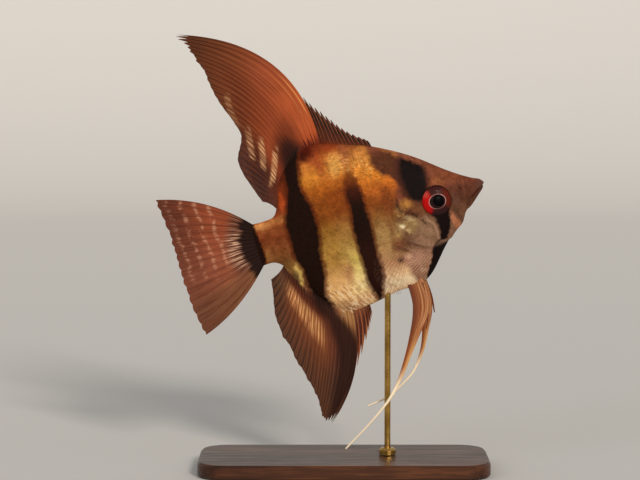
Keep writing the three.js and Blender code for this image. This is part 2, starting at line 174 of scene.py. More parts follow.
def relief(x, z):
    """How far the skin's folds stand off the bare form."""
    cover, along = off_line(x, z, GILL_EDGE)
    shown = within(along, (0.1, 0.42), (0.88, 1))
    height = 0.24 * shown * ease(cover, -0.3, 0.6) * (1 - ease(cover, 2, 9))
    height -= 0.12 * shown * bump(cover + 0.4, 0.4)
    ridge, along = off_line(x, z, CHEEK_RIDGE)
    shown = within(along, (0, 0.25), (0.85, 1))
    height += shown * (0.12 * bump(ridge + 0.1, 0.45) - 0.08 * bump(ridge - 0.7, 0.5))
    slit, along = off_line(x, z, MOUTH)
    shown = within(along, ends=(0.8, 1))
    height += shown * (0.12 * bump(np.abs(slit) - LIP_WIDTH, 0.5) - 0.36 * bump(slit, 0.16))
    fold, along = off_line(x, z, JAW_FOLD)
    height -= 0.14 * within(along, ends=(0.7, 1)) * bump(fold, 0.36)
    fold, along = off_line(x, z, LIP_FOLD)
    height += within(along, (0, 0.25)) * (0.06 * bump(fold - 0.7, 0.5) - 0.09 * bump(fold, 0.34))
    nostril = np.hypot(x - NOSTRIL[0], z - NOSTRIL[1])
    height += 0.06 * bump(nostril - 0.85, 0.35) - 0.3 * bump(nostril, 0.4)
    eye = np.hypot(x - EYE["x"], z - EYE["z"])
    height += 0.08 * bump(eye - EYE["open"] - 0.6, 0.5)
    return height - SOCKET_DEPTH * (1 - ease(eye, EYE["open"] - 0.7, EYE["open"] + 0.1))


# The lines painted along the folds, each a light rim or a crease darkened with painted shade: its strength,
# the shares of the way over which it begins and ends, how far in front of the fold it lies, and its width.
FINE_LINES = (
    (GILL_EDGE, (
        ("rim", 0.5, (0.42, 0.6), (0.8, 0.95), 0.15, 0.3),
        ("crease", 0.5, (0.3, 0.6), (0.88, 1), -0.5, 0.35),
    )),
    (CHEEK_RIDGE, (("rim", 0.5, (0.1, 0.4), (0.8, 1), -0.1, 0.32),)),
    (MOUTH, (
        ("rim", 0.3, None, (0.1, 0.35), LIP_WIDTH, 0.4),
        ("rim", 0.3, None, (0.1, 0.35), -LIP_WIDTH, 0.4),
        ("crease", 0.75, None, (0.85, 1), 0, 0.22),
    )),
    *((line, (("crease", strength, (0, 0.25), (0.65, 1), 0, 0.32),)) for line, strength in (
        (JAW_FOLD, 0.35), (LIP_FOLD, 0.3), *((wrinkle, 1.0) for wrinkle in CHEEK_WRINKLES))),
)


def fine_lines(x, z):
    """The head's light rims, and the painted shade in its creases and nostrils, each from 0 to 1."""
    near = x > GILL_EDGE[3][0] - 2
    lines = {"rim": np.zeros_like(x), "crease": np.zeros_like(x)}
    for line, drawn in FINE_LINES:
        off, along = off_line(x[near], z[near], line)
        for kind, strength, begins, ends, place, width in drawn:
            shown = strength * within(along, begins, ends) * bump(off - place, width)
            lines[kind][near] = np.maximum(lines[kind][near], shown)
    nostril = np.hypot(x[near] - NOSTRIL[0], z[near] - NOSTRIL[1])
    lines["crease"][near] = np.maximum(lines["crease"][near], 0.7 * bump(nostril, 0.45))
    return lines


def body_surface(x, angle, lift=0.0, step=0.02, turn_step=0.004):
    """Points of the skin in the fish's own frame, a lift off it, and the way out from it."""
    x, angle = np.minimum(x, SNOUT - 0.2 * step), np.asarray(angle)
    along = flesh(np.minimum(x + step, SNOUT - 0.1 * step), angle) - flesh(x - step, angle)
    around = flesh(x, angle + turn_step) - flesh(x, angle - turn_step)
    out = np.cross(along, around)
    out /= np.linalg.norm(out, axis=-1, keepdims=True)
    bare = flesh(x, angle)
    height = relief(bare[..., 0], bare[..., 2]) - COAT_DEPTH + lift
    return bare + out * height[..., None], out


def in_object(points):
    """Points of the fish's own frame, in millimetres, as points of the object, in metres."""
    x, y, z = np.moveaxis(np.asarray(points, float), -1, 0) * MM
    turned = (x * math.cos(PITCH) - z * math.sin(PITCH), y, x * math.sin(PITCH) + z * math.cos(PITCH))
    return np.stack(turned, -1) + TAIL_ROOT


def grid_faces(rows, columns, first=0, closed=False):
    """Four-cornered faces over a grid of points, counted row by row."""
    r, c = np.meshgrid(np.arange(rows - 1), np.arange(columns if closed else columns - 1), indexing="ij")
    after = (c + 1) % columns
    corners = (r * columns + c, r * columns + after, (r + 1) * columns + after, (r + 1) * columns + c)
    return (np.stack(corners, -1).reshape(-1, 4) + first).tolist()


def fan_faces(centre, first, count):
    """Three-cornered faces from a centre point to a ring of points."""
    return [(centre, first + k, first + (k + 1) % count) for k in range(count)]


def round_turn(count):
    return np.linspace(0, 2 * math.pi, count, endpoint=False)


def sheet_faces(rows, columns):
    """Faces of a thin closed sheet: a grid of points, the same grid again behind it, and the edge."""
    count = rows * columns
    face = np.array(grid_faces(rows, columns))
    border = [*range(columns), *range(2 * columns - 1, count, columns)]
    border += [*range(count - 2, count - columns - 1, -1), *range(count - 2 * columns, 0, -columns)]
    border = np.array(border)
    after = np.roll(border, -1)
    wall = np.stack((border, after, after + count, border + count), -1)
    return np.concatenate((face, face[:, ::-1] + count, wall))


SHARP_EDGE = math.radians(55)


def smooth_mesh(name, points, faces, material):
    """A mesh from points in the object's frame: faces all turned one way, smooth but for sharp edges."""
    mesh = bpy.data.meshes.new(name)
    mesh.from_pydata(np.asarray(points).reshape(-1, 3).tolist(), [], faces)
    made = bpy.data.objects.new(name, mesh)
    bpy.context.scene.collection.objects.link(made)
    made.data.materials.append(material)
    bpy.context.view_layer.objects.active = made
    made.select_set(True)
    bpy.ops.object.mode_set(mode="EDIT")
    bpy.ops.mesh.select_all(action="SELECT")
    bpy.ops.mesh.normals_make_consistent(inside=False)
    bpy.ops.object.mode_set(mode="OBJECT")
    bpy.ops.object.shade_smooth_by_angle(angle=SHARP_EDGE)
    made.select_set(False)
    return made


def fish_piece(name, points, faces, material):
    """A piece from points in the fish's own frame, which takes its finish from a slot."""
    piece = smooth_mesh(name, in_object(points), faces, material)
    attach(piece, "root")
    return piece


def add_map(piece, name, values):
    """A UV map from one (u, v) for each point of the piece."""
    made = piece.data.uv_layers.new(name=name)
    corner = np.empty(len(piece.data.loops), int)
    piece.data.loops.foreach_get("vertex_index", corner)
    made.data.foreach_set("uv", values[corner].ravel().astype(np.float32))
    return made


def add_values(piece, **named):
    """Named values for each point of the piece."""
    for name, values in named.items():
        made = piece.data.attributes.new(name, "FLOAT", "POINT")
        made.data.foreach_set("value", np.asarray(values, np.float32))


def paint(colour):
    """A web colour as the linear colour of a shader socket."""
    shares = [int(colour[i : i + 2], 16) / 255 for i in (1, 3, 5)]
    return (*[s / 12.92 if s <= 0.04045 else ((s + 0.055) / 1.055) ** 2.4 for s in shares], 1.0)


def add_node(tree, kind, inputs=(), **settings):
    """A shader node with its settings, and its inputs given as values, web colours or sockets to link."""
    made = tree.nodes.new("ShaderNode" + kind)
    for name, value in settings.items():
        setattr(made, name, value)
    for name, value in dict(inputs).items():
        if isinstance(value, bpy.types.NodeSocket):
            tree.links.new(value, made.inputs[name])
        else:
            made.inputs[name].default_value = paint(value) if isinstance(value, str) else value
    return made


def tree_of(*values):
    """The node tree that the first socket among some values is in."""
    return next(value.id_data for value in values if isinstance(value, bpy.types.NodeSocket))


def calc(operation, a, b=0.0):
    return add_node(tree_of(a, b), "Math", {0: a, 1: b}, operation=operation).outputs[0]


def times(*values):
    return functools.reduce(functools.partial(calc, "MULTIPLY"), values)


def highest(*values):
    return functools.reduce(functools.partial(calc, "MAXIMUM"), values)


def rest_of(share):
    return calc("SUBTRACT", 1.0, share)


UNDER, OVER, MIXED = 6, 7, 2  # the Mix node's colour sockets


def mix(share, under, over, blend="MIX"):
    """Two colours mixed by a share; each is a web colour or a socket."""
    inputs = {"Factor": share, UNDER: under, OVER: over}
    made = add_node(tree_of(share, under, over), "Mix", inputs, data_type="RGBA", blend_type=blend)
    return made.outputs[MIXED]


def between(value, low, high, to_low=0.0, to_high=1.0):
    """A value eased from one range to another."""
    inputs = {"Value": value, "From Min": low, "From Max": high, "To Min": to_low, "To Max": to_high}
    return add_node(tree_of(value), "MapRange", inputs, interpolation_type="SMOOTHSTEP").outputs[0]


def noise(vector, scale, detail=2.0, roughness=0.5):
    inputs = {"Vector": vector, "Scale": scale, "Detail": detail, "Roughness": roughness}
    return add_node(tree_of(vector), "TexNoise", inputs).outputs["Fac"]


def ramp(value, stops):
    """A colour ramp through (position, web colour) stops."""
    made = add_node(tree_of(value), "ValToRGB", {"Fac": value})
    elements = made.color_ramp.elements
    while len(elements) < len(stops):
        elements.new(0.5)
    for element, (position, colour) in zip(elements, sorted(stops)):
        element.position, element.color = position, paint(colour)
    return made.outputs["Color"]


def parts(vector):
    """The X, Y and Z outputs of a vector taken apart."""
    return add_node(tree_of(vector), "SeparateXYZ", {0: vector}).outputs


def mapped(vector, kind="POINT", **inputs):
    """A vector through a Mapping node, given its Location, Rotation or Scale."""
    return add_node(tree_of(vector), "Mapping", {"Vector": vector, **inputs}, vector_type=kind).outputs[0]


def results_of(group, tree):
    """The outputs of a node group placed in a tree."""
    return add_node(tree, "Group", node_tree=group).outputs


def give(out, **values):
    """Links values to the inputs of a group's output node, or of a shader."""
    for name, value in values.items():
        out.id_data.links.new(value, out.inputs[name.replace("_", " ")])


def new_group(name, outputs, inputs=()):
    """An empty node group with its sockets, and the node that takes its results."""
    tree = bpy.data.node_groups.new(name, "ShaderNodeTree")
    for socket, kind in inputs:
        tree.interface.new_socket(name=socket, in_out="INPUT", socket_type="NodeSocket" + kind)
    for socket, kind in outputs:
        tree.interface.new_socket(name=socket, in_out="OUTPUT", socket_type="NodeSocket" + kind)
    return tree, tree.nodes.new("NodeGroupOutput")


# Places in the fish's own frame, for any material: its x and z as shares of a field 80 long and 90 high.
FIELD_LENGTH, FIELD_LOW, FIELD_HEIGHT = 80.0, -50.0, 90.0

places, out = new_group("Place on the fish", (("Flat", "Vector"), ("X", "Float"), ("Z", "Float")))
root_x, _, root_z = (value / MM for value in TAIL_ROOT)
own = mapped(
    add_node(places, "TexCoord").outputs["Object"],
    Location=(
        -(root_x * math.cos(PITCH) + root_z * math.sin(PITCH)),
        0.0,
        -(root_z * math.cos(PITCH) - root_x * math.sin(PITCH)),
    ),
    Rotation=(0.0, PITCH, 0.0),
    Scale=(1 / MM, 1 / MM, 1 / MM),
)
own = parts(own)
give(
    out,
    Flat=add_node(places, "CombineXYZ", {"X": own["X"], "Z": own["Z"]}).outputs[0],
    X=calc("DIVIDE", own["X"], FIELD_LENGTH),
    Z=calc("DIVIDE", calc("SUBTRACT", own["Z"], FIELD_LOW), FIELD_HEIGHT),
)


def z_share(z):
    return (z - FIELD_LOW) / FIELD_HEIGHT


def between_lengths(x, low, high, *to):
    """A value eased from one place along the field to another, given in millimetres."""
    return between(x, low / FIELD_LENGTH, high / FIELD_LENGTH, *to)


def between_heights(z, low, high, *to):
    return between(z, z_share(low), z_share(high), *to)


def height_ramp(z, stops):
    """A colour ramp up the field through (height, web colour) stops."""
    return ramp(z, [(z_share(height), colour) for height, colour in stops])


def edge_at(z, points):
    """A marking's edge: its x at each height, from (x, z) points, both as shares of the field."""
    made = add_node(tree_of(z), "FloatCurve", {"Value": z})
    curve = made.mapping.curves[0]
    while len(curve.points) < len(points):
        curve.points.new(0.5, 0.5)
    for point, (px, pz) in zip(curve.points, sorted(points, key=lambda p: p[1])):
        point.location = (z_share(pz), px / FIELD_LENGTH)
    made.mapping.update()
    return made.outputs[0]


def band(x, z, left, right, soft=0.9):
    """1 between a marking's two edges, with a soft border."""
    behind, before = calc("SUBTRACT", x, edge_at(z, left)), calc("SUBTRACT", edge_at(z, right), x)
    return times(between_lengths(behind, -soft, soft), between_lengths(before, -soft, soft))


def seen_from(flat, centre=(0.0, 0.0), radii=(1.0, 1.0), tilt=0.0):
    """Places on the side seen from a centre and measured in radii. The tilt is in degrees, nose up."""
    return mapped(
        flat, "TEXTURE", Location=(centre[0], 0.0, centre[1]), Rotation=(0.0, -math.radians(tilt), 0.0),
        Scale=(radii[0], 1.0, radii[1]),
    )


def length_of(vector):
    return add_node(tree_of(vector), "VectorMath", {0: vector}, operation="LENGTH").outputs["Value"]


def spot(flat, centre, radii, tilt=0.0, soft=0.4):
    """1 inside an oval of the fish's side, with a soft border."""
    return between(length_of(seen_from(flat, centre, radii, tilt)), 1 + soft, 1 - soft)


def strokes(flat, tilt, size):
    """A noise drawn out into strokes of a length and width."""
    return noise(seen_from(flat, radii=size, tilt=tilt), 1.0)


# The living colours of the flank: dark bars over gold, olive and cream, shared by skin, coat and fin bases.
# Some of its spots are painted light: highlights on the gill cover, glints on the gold patches, and shadows
# under the gill cover and along the anal fin's foot.
marks_and_light, out = new_group("Markings and painted light", (("Colour", "Color"), ("Dark", "Float"), ("Gilt", "Float")))
still = results_of(places, marks_and_light)["Flat"]
wander = add_node(marks_and_light, "TexNoise", {"Vector": still, "Scale": 0.55, "Detail": 3.0}).outputs["Color"]
drift = add_node(marks_and_light, "VectorMath", {0: wander, 1: (0.5, 0.5, 0.5)}, operation="SUBTRACT").outputs[0]
drift = add_node(marks_and_light, "VectorMath", {0: drift, "Scale": 1.9}, operation="SCALE").outputs[0]
flat = add_node(marks_and_light, "VectorMath", {0: still, 1: drift}).outputs[0]
x = calc("DIVIDE", parts(flat)["X"], FIELD_LENGTH)
z = calc("DIVIDE", calc("SUBTRACT", parts(flat)["Z"], FIELD_LOW), FIELD_HEIGHT)

# Colours up the fish from the tail stalk to the shoulder, each with where it takes over from the one behind.
colour = height_ramp(z, (
    (24, "#3a160c"), (14, "#8c3a1c"), (8, "#a04c28"), (6.2, "#cf8448"), (4.6, "#a85c30"), (1, "#84411f"),
    (-3, "#985830"), (-7, "#8f5c32"), (-10, "#a67a3f"), (-18, "#94603a"), (-26, "#6a3820"),
))
for begins, full, stops in (
    (14.5, 18.5, (
        (27, "#5c1c0c"), (24, "#66220d"), (21.5, "#be622e"), (17, "#e09034"), (13, "#c46c22"),
        (8.5, "#9a501a"), (3, "#94501c"), (-1, "#a26e2c"), (-7, "#b88c40"), (-13, "#bd8c44"),
        (-18, "#ecb46c"), (-24, "#f6c27c"), (-28, "#a8744a"),
    )),
    (23.5, 29, (
        (27, "#7c3218"), (24, "#a84c20"), (21.5, "#da8a40"), (18, "#eaa24a"), (14.5, "#ce7628"),
        (10, "#a0501a"), (4, "#944c1a"), (0, "#a66c34"), (-5, "#b28244"), (-9, "#cba65a"), (-13, "#ecd070"),
        (-22, "#ffe49a"), (-25.5, "#fccc90"), (-29, "#c89464"),
    )),
    (33, 37, (
        (24, "#8c4824"), (21, "#c87c3c"), (18, "#dc9040"), (14.5, "#e89036"), (11.5, "#d47c2a"),
        (8, "#c46a26"), (3, "#904c1e"), (-2, "#986634"), (-8, "#b69058"), (-14, "#c79664"), (-18, "#cc9468"),
        (-21, "#f4c898"), (-24, "#ffe8c0"), (-28, "#f0bc90"),
    )),
):
    colour = mix(between_lengths(x, begins, full), colour, height_ramp(z, stops))
shoulder = edge_at(z, (
    (56, 24), (50, 14), (49, 8), (47.8, 4), (46.6, 0), (46, -5), (46.6, -9.4), (47.4, -13), (45.6, -17),
    (46, -22), (48, -28),
))
headward = between_lengths(calc("SUBTRACT", x, shoulder), -1.2, 1.2)
colour = mix(headward, colour, height_ramp(z, (
    (20, "#9c6048"), (13, "#8a5038"), (8, "#844830"), (5, "#884a2e"), (2.5, "#7e4430"), (0.5, "#6a3a28"),
    (-3, "#5e3626"), (-7, "#80563e"), (-12, "#8c644c"), (-17, "#9c7058"), (-22, "#96664e"), (-27, "#7c4c3a"),
)))

for centre, radii, tilt, soft, tone, strength in (
    # the back: red-brown columns between patches of gold
    ((26.2, 20.5), (1.5, 4.6), 0, 0.6, "#b4502a", 0.75),
    ((34.6, 21.6), (1.8, 4.8), -6, 0.6, "#a8603a", 0.7),
    ((22.6, 16.5), (2.0, 3.4), -20, 0.6, "#e08c34", 0.5),
    ((30.8, 18.8), (1.9, 3.4), -12, 0.7, "#eeb45e", 0.65),
    ((27.7, 19.4), (1.3, 4.4), 0, 0.7, "#b46222", 0.6),
    ((20.4, 24.2), (2.3, 1.7), 0, 0.7, "#3a140a", 0.85),
    ((21.2, 20.2), (1.7, 2.0), 0, 0.7, "#ea9640", 0.6),
    ((40.6, 19.2), (2.2, 3.6), -10, 0.6, "#de9446", 0.6),
    ((41.4, 13.6), (4.4, 1.5), -28, 0.7, "#e08c2c", 0.5),
    ((47.4, 9.2), (2.2, 1.5), -35, 0.7, "#dc7a2a", 0.7),
    ((19.6, 8.5), (1.7, 4.5), 0, 0.6, "#8a4a1e", 0.5),
    ((49.2, 18.6), (4.0, 1.7), -25, 0.7, "#945c40", 0.75),
    # the flank: olive and brown clouds
    ((32.2, 5.0), (2.0, 5.5), 0, 0.7, "#7e3d17", 0.5),
    ((29.0, -4.0), (2.6, 3.0), 0, 0.8, "#bd9048", 0.4),
    ((26.4, -16.0), (1.7, 3.8), -8, 0.8, "#b9784a", 0.75),
    ((21.6, -9.5), (1.8, 4.5), -8, 0.8, "#cf9c4c", 0.5),
    ((40.5, -8.0), (1.5, 5.0), 0, 0.8, "#cba266", 0.4),
    ((44.6, 2.5), (1.6, 4.6), 0, 0.7, "#82401f", 0.75),
    ((43.6, -5.0), (1.3, 3.6), 0, 0.8, "#865432", 0.6),
    # behind and under the gill cover
    # painted highlight: a soft pool of light on the gill cover, and two small glints on it
    ((47.0, -6.2), (1.6, 1.6), 0, 0.9, "#cfa878", 0.6),
    ((47.2, -6.2), (0.9, 0.6), -40, 0.6, "#fff2c4", 1.0),
    ((48.8, -8.2), (0.7, 0.4), -40, 0.7, "#f0d8a4", 0.8),
    ((47.4, -1.6), (1.2, 1.8), 0, 0.8, "#a87a4a", 0.6),
    ((46.0, -12.0), (2.3, 2.3), -20, 0.7, "#683826", 0.9),
    ((43.8, -12.2), (1.3, 2.6), 0, 0.7, "#8c4c30", 0.7),
    ((44.2, -16.8), (1.4, 1.3), 0, 0.7, "#74402c", 0.8),
    ((43.8, -17.3), (0.7, 0.8), 0, 0.6, "#4c2216", 0.8),
    ((46.4, -16.3), (1.2, 0.8), -20, 0.6, "#eab894", 0.8),
    # painted shadow under the lower edge of the gill cover
    ((50.8, -13.4), (2.8, 0.8), -22, 0.7, "#6a4636", 0.6),
    ((48.0, -17.6), (2.6, 2.0), 0, 0.8, "#c8937a", 0.6),
    # the gill cover and cheek: silvery beige, gold above
    ((50.4, 0.4), (2.0, 1.5), -25, 0.7, "#c88a44", 0.85),
    ((50.4, -6.9), (2.6, 2.4), -20, 0.7, "#b0905f", 0.85),
    ((54.4, -9.8), (3.4, 4.6), -20, 0.6, "#a27e62", 0.75),
    ((50.2, -4.4), (1.5, 0.7), -20, 0.8, "#dcc08c", 0.6),
    ((54.0, -2.6), (2.6, 1.4), -20, 0.7, "#8c5836", 0.6),
    # snout, lips and the patch before the dark bar
    ((64.8, -9.8), (1.3, 3.2), 14, 0.5, "#c47c58", 0.9),
    ((66.4, -3.4), (1.4, 3.4), 14, 0.7, "#6a4638", 0.6),
    ((67.6, 1.0), (1.9, 1.4), 0, 0.7, "#5a3222", 0.6),
    ((62.2, 4.6), (2.0, 1.0), -25, 0.7, "#a4623c", 0.7),
    ((76.0, 0.0), (1.6, 1.7), 0, 0.6, "#62443a", 0.7),
    ((66.0, -8.0), (0.9, 3.4), 20, 0.6, "#57392c", 0.6),
    # the tail stalk
    ((10.9, 12.6), (0.9, 3.8), 0, 0.6, "#d8602c", 0.9),
    ((10.2, -12.8), (1.3, 4.1), -6, 0.4, "#ffd878", 1.0),
    # painted shadow along the anal fin's foot, below the edge of the belly
    ((8.8, -15.2), (1.2, 3.4), -14, 0.6, "#4c2216", 0.9),
    ((11.6, -20.6), (1.1, 3.0), -24, 0.6, "#5a2c1e", 0.8),
    ((12.8, -19.0), (0.5, 2.2), -14, 0.6, "#9c6a5c", 0.5),
    ((2.2, 5.6), (2.6, 1.0), -6, 0.7, "#f0a864", 0.7),
    ((1.6, -4.6), (1.8, 2.2), 0, 0.7, "#bc8048", 0.6),
):
    colour = mix(times(spot(flat, centre, radii, tilt, soft), strength), colour, tone)

fine, cloud = noise(still, 1.1, 3.0, 0.6), noise(still, 0.34)
glints = between(strokes(flat, -22, (1.5, 0.5)), 0.54, 0.66)
by_gill = times(spot(flat, (48.4, -3.0), (2.4, 5.0), 10, 0.7), 0.45)
gilded = highest(spot(flat, (38.6, 16.4), (9.0, 3.4), -24, 0.6), by_gill)
colour = mix(times(glints, gilded, 0.55), colour, "#ffcf78")
hatch = strokes(flat, -56, (3.2, 0.95))
under = times(between_heights(z, -17, -22), between_lengths(x, 44, 37, 0.25, 1.0))
colour = mix(times(between(hatch, 0.52, 0.42), under, 0.5), colour, "#9c6a42")
colour = mix(times(between(hatch, 0.5, 0.62), under, 0.6), colour, "#ffe6bc")
pale = between_heights(z, -22, -12)
specks = ramp(fine, ((0.3, "#a8a49e"), (0.5, "#eeeeee"), (0.68, "#ffffff")))
colour = mix(between(pale, 0.0, 1.0, 0.3, 0.6), colour, specks, "MULTIPLY")
clouds = ramp(cloud, ((0.35, "#a89c84"), (0.6, "#ffffff")))
colour = mix(between(pale, 0.0, 1.0, 0.12, 0.45), colour, clouds, "MULTIPLY")

# The bars: the dark nape, the brown cloak behind it, the stripe under the eye, two bars down the flank and
# the end of the tail stalk.
nape = band(
    x, z,
    ((52.4, 16), (51.4, 13), (50.8, 10), (51.0, 8), (51.2, 5), (52.0, 2), (53.6, 0), (54, -2)),
    ((52.6, 16), (55.6, 13), (58.6, 10.6), (59.0, 8), (58.8, 5), (58, 2.4), (57, 0), (56, -2)),
    1.3,
)
nape = times(nape, between_heights(z, -0.6, 0.8))
cloak = band(
    x, z,
    ((42.6, 24), (42.6, 18), (42.9, 15.4), (44.1, 13.2), (46.9, 10.8), (49.0, 8.6), (49.9, 6), (50.2, 3),
     (52, 0)),
    ((44.4, 24), (46.8, 20), (49.4, 17.8), (52, 15.4), (55, 13.6), (58, 11.4), (59.6, 9), (59.4, 5),
     (57, 0)),
    1.2,
)
cloak = times(cloak, between_heights(z, 1.5, 4.0, 0.0, 0.95))
under_eye = band(
    x, z,
    ((57.6, 0), (57.7, -5.7), (58.4, -8), (58.5, -11.1), (58.2, -13.4), (56.4, -14.6), (54.8, -16.2),
     (54.2, -18.3), (52.4, -21.4), (50.8, -24.8), (50, -28)),
    ((63.6, 0), (63.3, -6.8), (62.4, -10.3), (61.5, -12.6), (60.6, -14.2), (61.5, -15.4), (66, -17),
     (66, -28)),
    0.5,
)
jaw_gap = times(spot(flat, (59.4, -14.7), (2.4, 0.45), 0, 0.5), 0.7)
under_eye = times(under_eye, between_heights(z, -3.0, -4.0), rest_of(jaw_gap))
second = band(
    x, z,
    ((33.4, 20), (33.0, 13.4), (31.9, 8.3), (32.0, 3.1), (31.2, -1.9), (31.0, -7), (31.1, -12.2),
     (31.3, -17.5), (31.2, -21.5), (31.8, -23.5), (33.2, -28.5)),
    ((36.4, 20), (36.5, 12.7), (37.5, 6.8), (37.4, 1.7), (37.6, -3.4), (37.5, -8.5), (37.2, -13.5),
     (37.4, -18.7), (36.2, -23.5), (34.8, -28)),
    1.0,
)
second = times(second, between_heights(z, 18.0, 9.5))
third = band(
    x, z,
    ((16.0, 31.3), (14.0, 21.6), (13.2, 14), (11.5, 8.8), (9.9, 4.1), (10.2, -1.2), (9.9, -6.2),
     (11.3, -11.7), (11.8, -17), (12.2, -22), (12.8, -26), (15.2, -30), (15.5, -38), (15.2, -46), (10, -54)),
    ((22.3, 29.8), (19.4, 20.5), (18.8, 13.4), (20.2, 8), (20.6, 4), (20.7, 0), (20.2, -3.7), (19.1, -8.5),
     (19.0, -13.6), (17.9, -18.6), (17.2, -22), (18.6, -26), (19.3, -30), (21.4, -34), (22.8, -39),
     (22.4, -44), (17, -52)),
    1.1,
)
edge = edge_at(z, ((0.0, 7.6), (0.3, 4), (0.8, 0.5), (1.0, -2.5), (0.9, -5), (0.3, -8)))
stalk_end = between_lengths(calc("SUBTRACT", edge, x), -0.5, 0.5)
dark = highest(nape, under_eye, second, third, stalk_end)
cloaked = mix(between(fine, 0.4, 0.6), "#43221a", "#4f281c")
colour = mix(cloak, colour, mix(between_heights(z, 17, 21), cloaked, "#7c442e"))
ink = mix(between_lengths(x, 42, 54), "#1c0c06", "#120a0a")
ink = mix(times(spot(flat, (34.6, -16.0), (4.0, 9.0), 0, 0.6), 0.8), ink, "#2c120c")
ink = mix(times(spot(flat, (35.0, 12.0), (3.2, 5.0), 0, 0.7), 0.8), ink, "#4a1c0c")
colour = mix(dark, colour, mix(between(fine, 0.5, 0.75, 0.0, 0.15), ink, "#4a2816"))
fringe = times(dark, rest_of(dark), 2.2, between_lengths(x, 44, 40))
colour = mix(fringe, colour, "#64280f")
all_dark = highest(dark, cloak)
gilt = times(between(fine, 0.42, 0.62), rest_of(all_dark), rest_of(headward))
give(out, Colour=colour, Dark=all_dark, Gilt=gilt)


def new_material(name, roughness, **sockets):
    """A material with its shader's plain values set, its tree, and its shader."""
    material = bpy.data.materials.new(name)
    material.use_nodes = True
    shader = material.node_tree.nodes["Principled BSDF"]
    for socket, value in {"Roughness": roughness, "Specular_IOR_Level": 0.1, **sockets}.items():
        shader.inputs[socket.replace("_", " ")].default_value = value
    return material, material.node_tree, shader


def dent(shader, height, strength, distance):
    """Small dents in a material's surface, from a height and its real depth in metres."""
    inputs = {"Height": height, "Strength": strength, "Distance": distance}
    give(shader, Normal=add_node(shader.id_data, "Bump", inputs).outputs[0])


def value_of(name, tree):
    """A named value of the piece's points, in a tree."""
    return add_node(tree, "Attribute", attribute_name=name).outputs["Fac"]


def draw_lines(tree, colour, rim_share, crease_shade):
    """A colour with the head's light rims drawn on it, and painted shade in its creases."""
    colour = mix(times(value_of("rim", tree), rim_share), colour, "#c89c80")
    return mix(times(value_of("crease", tree), crease_shade), colour, "#1c0e0a")


skin_material, tree, shader = new_material("fish_skin", 0.6, Specular_IOR_Level=0.05)
marked = results_of(marks_and_light, tree)
grain = noise(results_of(places, tree)["Flat"], 2.2, 3.0, 0.65)
colour = mix(between(grain, 0.35, 0.5, 0.22, 0.0), marked["Colour"], "#22120c")
colour = draw_lines(tree, colour, times(rest_of(times(marked["Dark"], 0.6)), 0.8), 0.8)
give(shader, Base_Color=colour, Metallic=times(marked["Gilt"], 0.3))
dent(shader, grain, 0.35, 0.00012)

AROUND = 320
TAIL_END, HEAD_START, LIP_START = BACK[0][0], 42, SNOUT - LIP_LENGTH
BODY_RINGS, HEAD_RINGS, LIP_RINGS = 84, 124, 14
stations = np.concatenate((
    np.linspace(TAIL_END, HEAD_START, BODY_RINGS, endpoint=False),
    np.linspace(HEAD_START, LIP_START, HEAD_RINGS, endpoint=False),
    LIP_START + LIP_LENGTH * np.sin(np.linspace(0, 0.985 * math.pi / 2, LIP_RINGS)),
))
points, _ = body_surface(*np.meshgrid(stations, round_turn(AROUND), indexing="ij"))
faces = grid_faces(len(stations), AROUND, closed=True)
points = points.reshape(-1, 3)
last_ring = len(points) - AROUND
ends = (points[:AROUND].mean(0), points[last_ring:].mean(0) + (0.02, 0, 0))
faces += fan_faces(len(points), 0, AROUND) + fan_faces(len(points) + 1, last_ring, AROUND)
points = np.concatenate((points, ends))

# The thin rim of skin that holds each eye.
RIM = {"radius": 5.08, "thick": 0.22, "proud": 0.02, "around": 96, "sides": 12}


def flank_at(x, z):
    """The half width of the bare form at a place on its side."""
    middle = widest_height_at(x)
    reach = np.where(z > middle, back_at(x) - middle, middle - belly_at(x))
    height = np.minimum(np.abs(z - middle) / reach, 1)
    return half_width_at(x) * (1 - height**2) ** (1 / roundness_at(x))


for side in (-1, 1):
    turn, cross = round_turn(RIM["around"])[:, None], round_turn(RIM["sides"])[None, :]
    reach = RIM["radius"] + RIM["thick"] * np.cos(cross)
    rim_x, rim_z = EYE["x"] + RIM["radius"] * np.cos(turn), EYE["z"] + RIM["radius"] * np.sin(turn)
    out_y = flank_at(rim_x, rim_z) - COAT_DEPTH + RIM["proud"] + RIM["thick"] * np.sin(cross)
    rim = np.stack((EYE["x"] + reach * np.cos(turn), side * out_y, EYE["z"] + reach * np.sin(turn)), -1)
    rim_faces = np.array(grid_faces(RIM["around"] + 1, RIM["sides"], closed=True))
    faces += (len(points) + rim_faces % (RIM["around"] * RIM["sides"])).tolist()
    points = np.concatenate((points, rim.reshape(-1, 3)))

skin = fish_piece("skin", points, faces, skin_material)
add_values(skin, **fine_lines(points[:, 0], points[:, 2]))
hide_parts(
    "head", "upper_jaw", "lower_jaw", "gill_cover_right", "gill_cover_left", "trunk", "tail_stalk")


# ---------- Coat ----------
# Small thin scales laid like roof tiles from head to tail, each with its root in the skin and its rounded
# rear edge free. They are finest on the cheeks and gill covers and stop short of the snout.

coat_material, tree, shader = new_material("fish_scales", 0.6, Specular_IOR_Level=0.05)
marked, z = results_of(marks_and_light, tree), results_of(places, tree)["Z"]
down_scale = parts(add_node(tree, "UVMap", uv_map="Scale").outputs[0])["Y"]
clear = rest_of(marked["Dark"])
# painted shade: each scale is darker at its root, where the scale in front of it lies over it
root_shade = times(between(down_scale, 0.75, 0.4), clear, between_heights(z, -20, -9, 0.5, 1.0), 0.35)
colour = mix(root_shade, marked["Colour"], "#9c7c68", "MULTIPLY")
